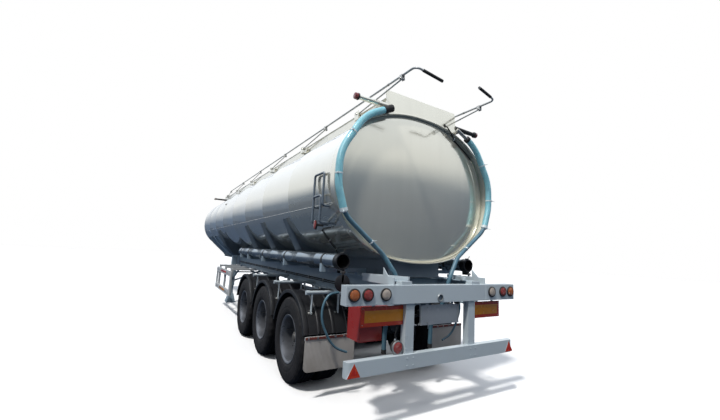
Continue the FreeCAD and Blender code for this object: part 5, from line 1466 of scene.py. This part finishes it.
def camera():
    data = bpy.data.cameras.new("camera")
    piece = bpy.data.objects.new("camera", data)
    bpy.context.scene.collection.objects.link(piece)
    bpy.context.scene.camera = piece
    data.sensor_width = 36
    data.lens = data.sensor_width * focal_pixels / photo_width
    data.shift_x = -centre_pixels[0] / photo_width
    data.shift_y = -centre_pixels[1] / photo_width
    data.clip_start = 0.05
    data.clip_end = 200
    flat = math.cos(camera_pitch)
    forward = Vector((flat * math.cos(camera_yaw), flat * math.sin(camera_yaw), math.sin(camera_pitch)))
    level = Vector((math.sin(camera_yaw), -math.cos(camera_yaw), 0))
    down = forward.cross(level)
    right = level * math.cos(camera_roll) + down * math.sin(camera_roll)
    down = down * math.cos(camera_roll) - level * math.sin(camera_roll)
    turned_to = Matrix((right, -down, -forward)).transposed()
    place = Vector(camera_place) + Vector((datum, 0, 0))
    piece.matrix_world = Matrix.Translation(place) @ turned_to.to_4x4()


# Light: a sun, a soft fill, a softbox over the rear, a sky that only the part mirrors, and a white floor
floor_half = 60
floor_white = (0.9, 0.9, 0.9, 1)
floor_mirrored = (0.05, 0.07, 0.105, 1)
sky_low = (0.04, 0.055, 0.085, 1)
sky_tones = ((0.14, (0.06, 0.085, 0.125, 1)), (0.27, (0.44, 0.46, 0.48, 1)), (0.6, (0.54, 0.58, 0.64, 1)))
sky_high = (0.5, 0.57, 0.68, 1)
sky_mirrored = 1.1
sky_lean = 0.11


def lamp(name, kind, strength, direction, tone, angle=0):
    data = bpy.data.lights.new(name, kind)
    data.energy = strength
    data.color = tone
    if kind == "SUN":
        data.angle = math.radians(angle)
    piece = bpy.data.objects.new(name, data)
    bpy.context.scene.collection.objects.link(piece)
    piece.rotation_euler = Vector(direction).to_track_quat("-Z", "Y").to_euler()
    return piece


def new_node(tree, kind, *values):
    """A new node, with a value for each input that is named or numbered."""
    made = tree.nodes.new("ShaderNode" + kind)
    for place, value in values:
        made.inputs[place].default_value = value
    return made


def reckon(tree, operation, *values):
    made = new_node(tree, "Math", *values)
    made.operation = operation
    return made


def white_to_camera(tree, lit, seen, output):
    """Shows one shader to the camera and the other to the rays that light the part."""
    path = new_node(tree, "LightPath")
    mix = new_node(tree, "MixShader")
    either = reckon(tree, "MAXIMUM")
    tree.links.new(path.outputs["Is Camera Ray"], either.inputs[0])
    tree.links.new(path.outputs["Is Transmission Ray"], either.inputs[1])
    tree.links.new(either.outputs[0], mix.inputs["Fac"])
    tree.links.new(lit, mix.inputs[1])
    tree.links.new(seen, mix.inputs[2])
    tree.links.new(mix.outputs[0], output.inputs["Surface"])


def floor_finish():
    """White to the camera, and asphalt grey in what the paint mirrors."""
    made = bpy.data.materials.new("floor_matt")
    made.use_nodes = True
    tree = made.node_tree
    tree.nodes.clear()
    white = new_node(tree, "BsdfDiffuse", ("Color", floor_white))
    grey = new_node(tree, "BsdfDiffuse", ("Color", floor_mirrored))
    white_to_camera(tree, grey.outputs[0], white.outputs[0], new_node(tree, "OutputMaterial"))
    return made


def floor():
    mesh = bpy.data.meshes.new("floor")
    corners = [(-floor_half, -floor_half, 0), (floor_half, -floor_half, 0), (floor_half, floor_half, 0),
               (-floor_half, floor_half, 0)]
    mesh.from_pydata(corners, [], [(0, 1, 2, 3)])
    piece = bpy.data.objects.new("floor", mesh)
    bpy.context.scene.collection.objects.link(piece)
    mesh.materials.append(floor_finish())


def lamps():
    lamp("key", "SUN", 2.9, (0.20, -0.46, -0.86), (1, 0.975, 0.94), 5)
    fill = lamp("fill", "SUN", 0.75, (0.1, 0.85, -0.5), (0.93, 0.96, 1), 25)
    fill.visible_glossy = False
    softbox = lamp("softbox", "AREA", 34, (0.80, -0.10, -0.59), (1, 0.985, 0.96))
    softbox.data.shape = "RECTANGLE"
    softbox.data.size = 2.6
    softbox.data.size_y = 1.4
    softbox.location = (X(-2.1), 0.3, 5.1)
    softbox.visible_camera = False
    softbox.visible_glossy = False


def sky():
    """White to the camera. For light and mirrors it gets lighter with height and towards the front."""
    world = bpy.data.worlds.new("studio")
    bpy.context.scene.world = world
    world.use_nodes = True
    tree = world.node_tree
    tree.nodes.clear()
    seen = new_node(tree, "Background", ("Color", (1, 1, 1, 1)), ("Strength", 1))
    lit = new_node(tree, "Background")
    path = new_node(tree, "LightPath")
    mirrored_sky = reckon(tree, "MULTIPLY_ADD", (1, sky_mirrored), (2, 1))
    tree.links.new(path.outputs["Is Glossy Ray"], mirrored_sky.inputs[0])
    tree.links.new(mirrored_sky.outputs[0], lit.inputs["Strength"])
    place = new_node(tree, "TexCoord")
    split = new_node(tree, "SeparateXYZ")
    ramp = new_node(tree, "ValToRGB")
    for element, position, tone in zip(ramp.color_ramp.elements, (0, 1), (sky_low, sky_high)):
        element.position = position
        element.color = tone
    for position, tone in sky_tones:
        ramp.color_ramp.elements.new(position).color = tone
    tree.links.new(place.outputs["Generated"], split.inputs["Vector"])
    tilt = reckon(tree, "MULTIPLY_ADD", (1, sky_lean))
    tree.links.new(split.outputs["X"], tilt.inputs[0])
    tree.links.new(split.outputs["Z"], tilt.inputs[2])
    tree.links.new(tilt.outputs[0], ramp.inputs["Fac"])
    tree.links.new(ramp.outputs["Color"], lit.inputs["Color"])
    white_to_camera(tree, lit.outputs[0], seen.outputs[0], new_node(tree, "OutputWorld"))


camera()
floor()
lamps()
sky()
bpy.context.scene.view_settings.view_transform = "Standard"
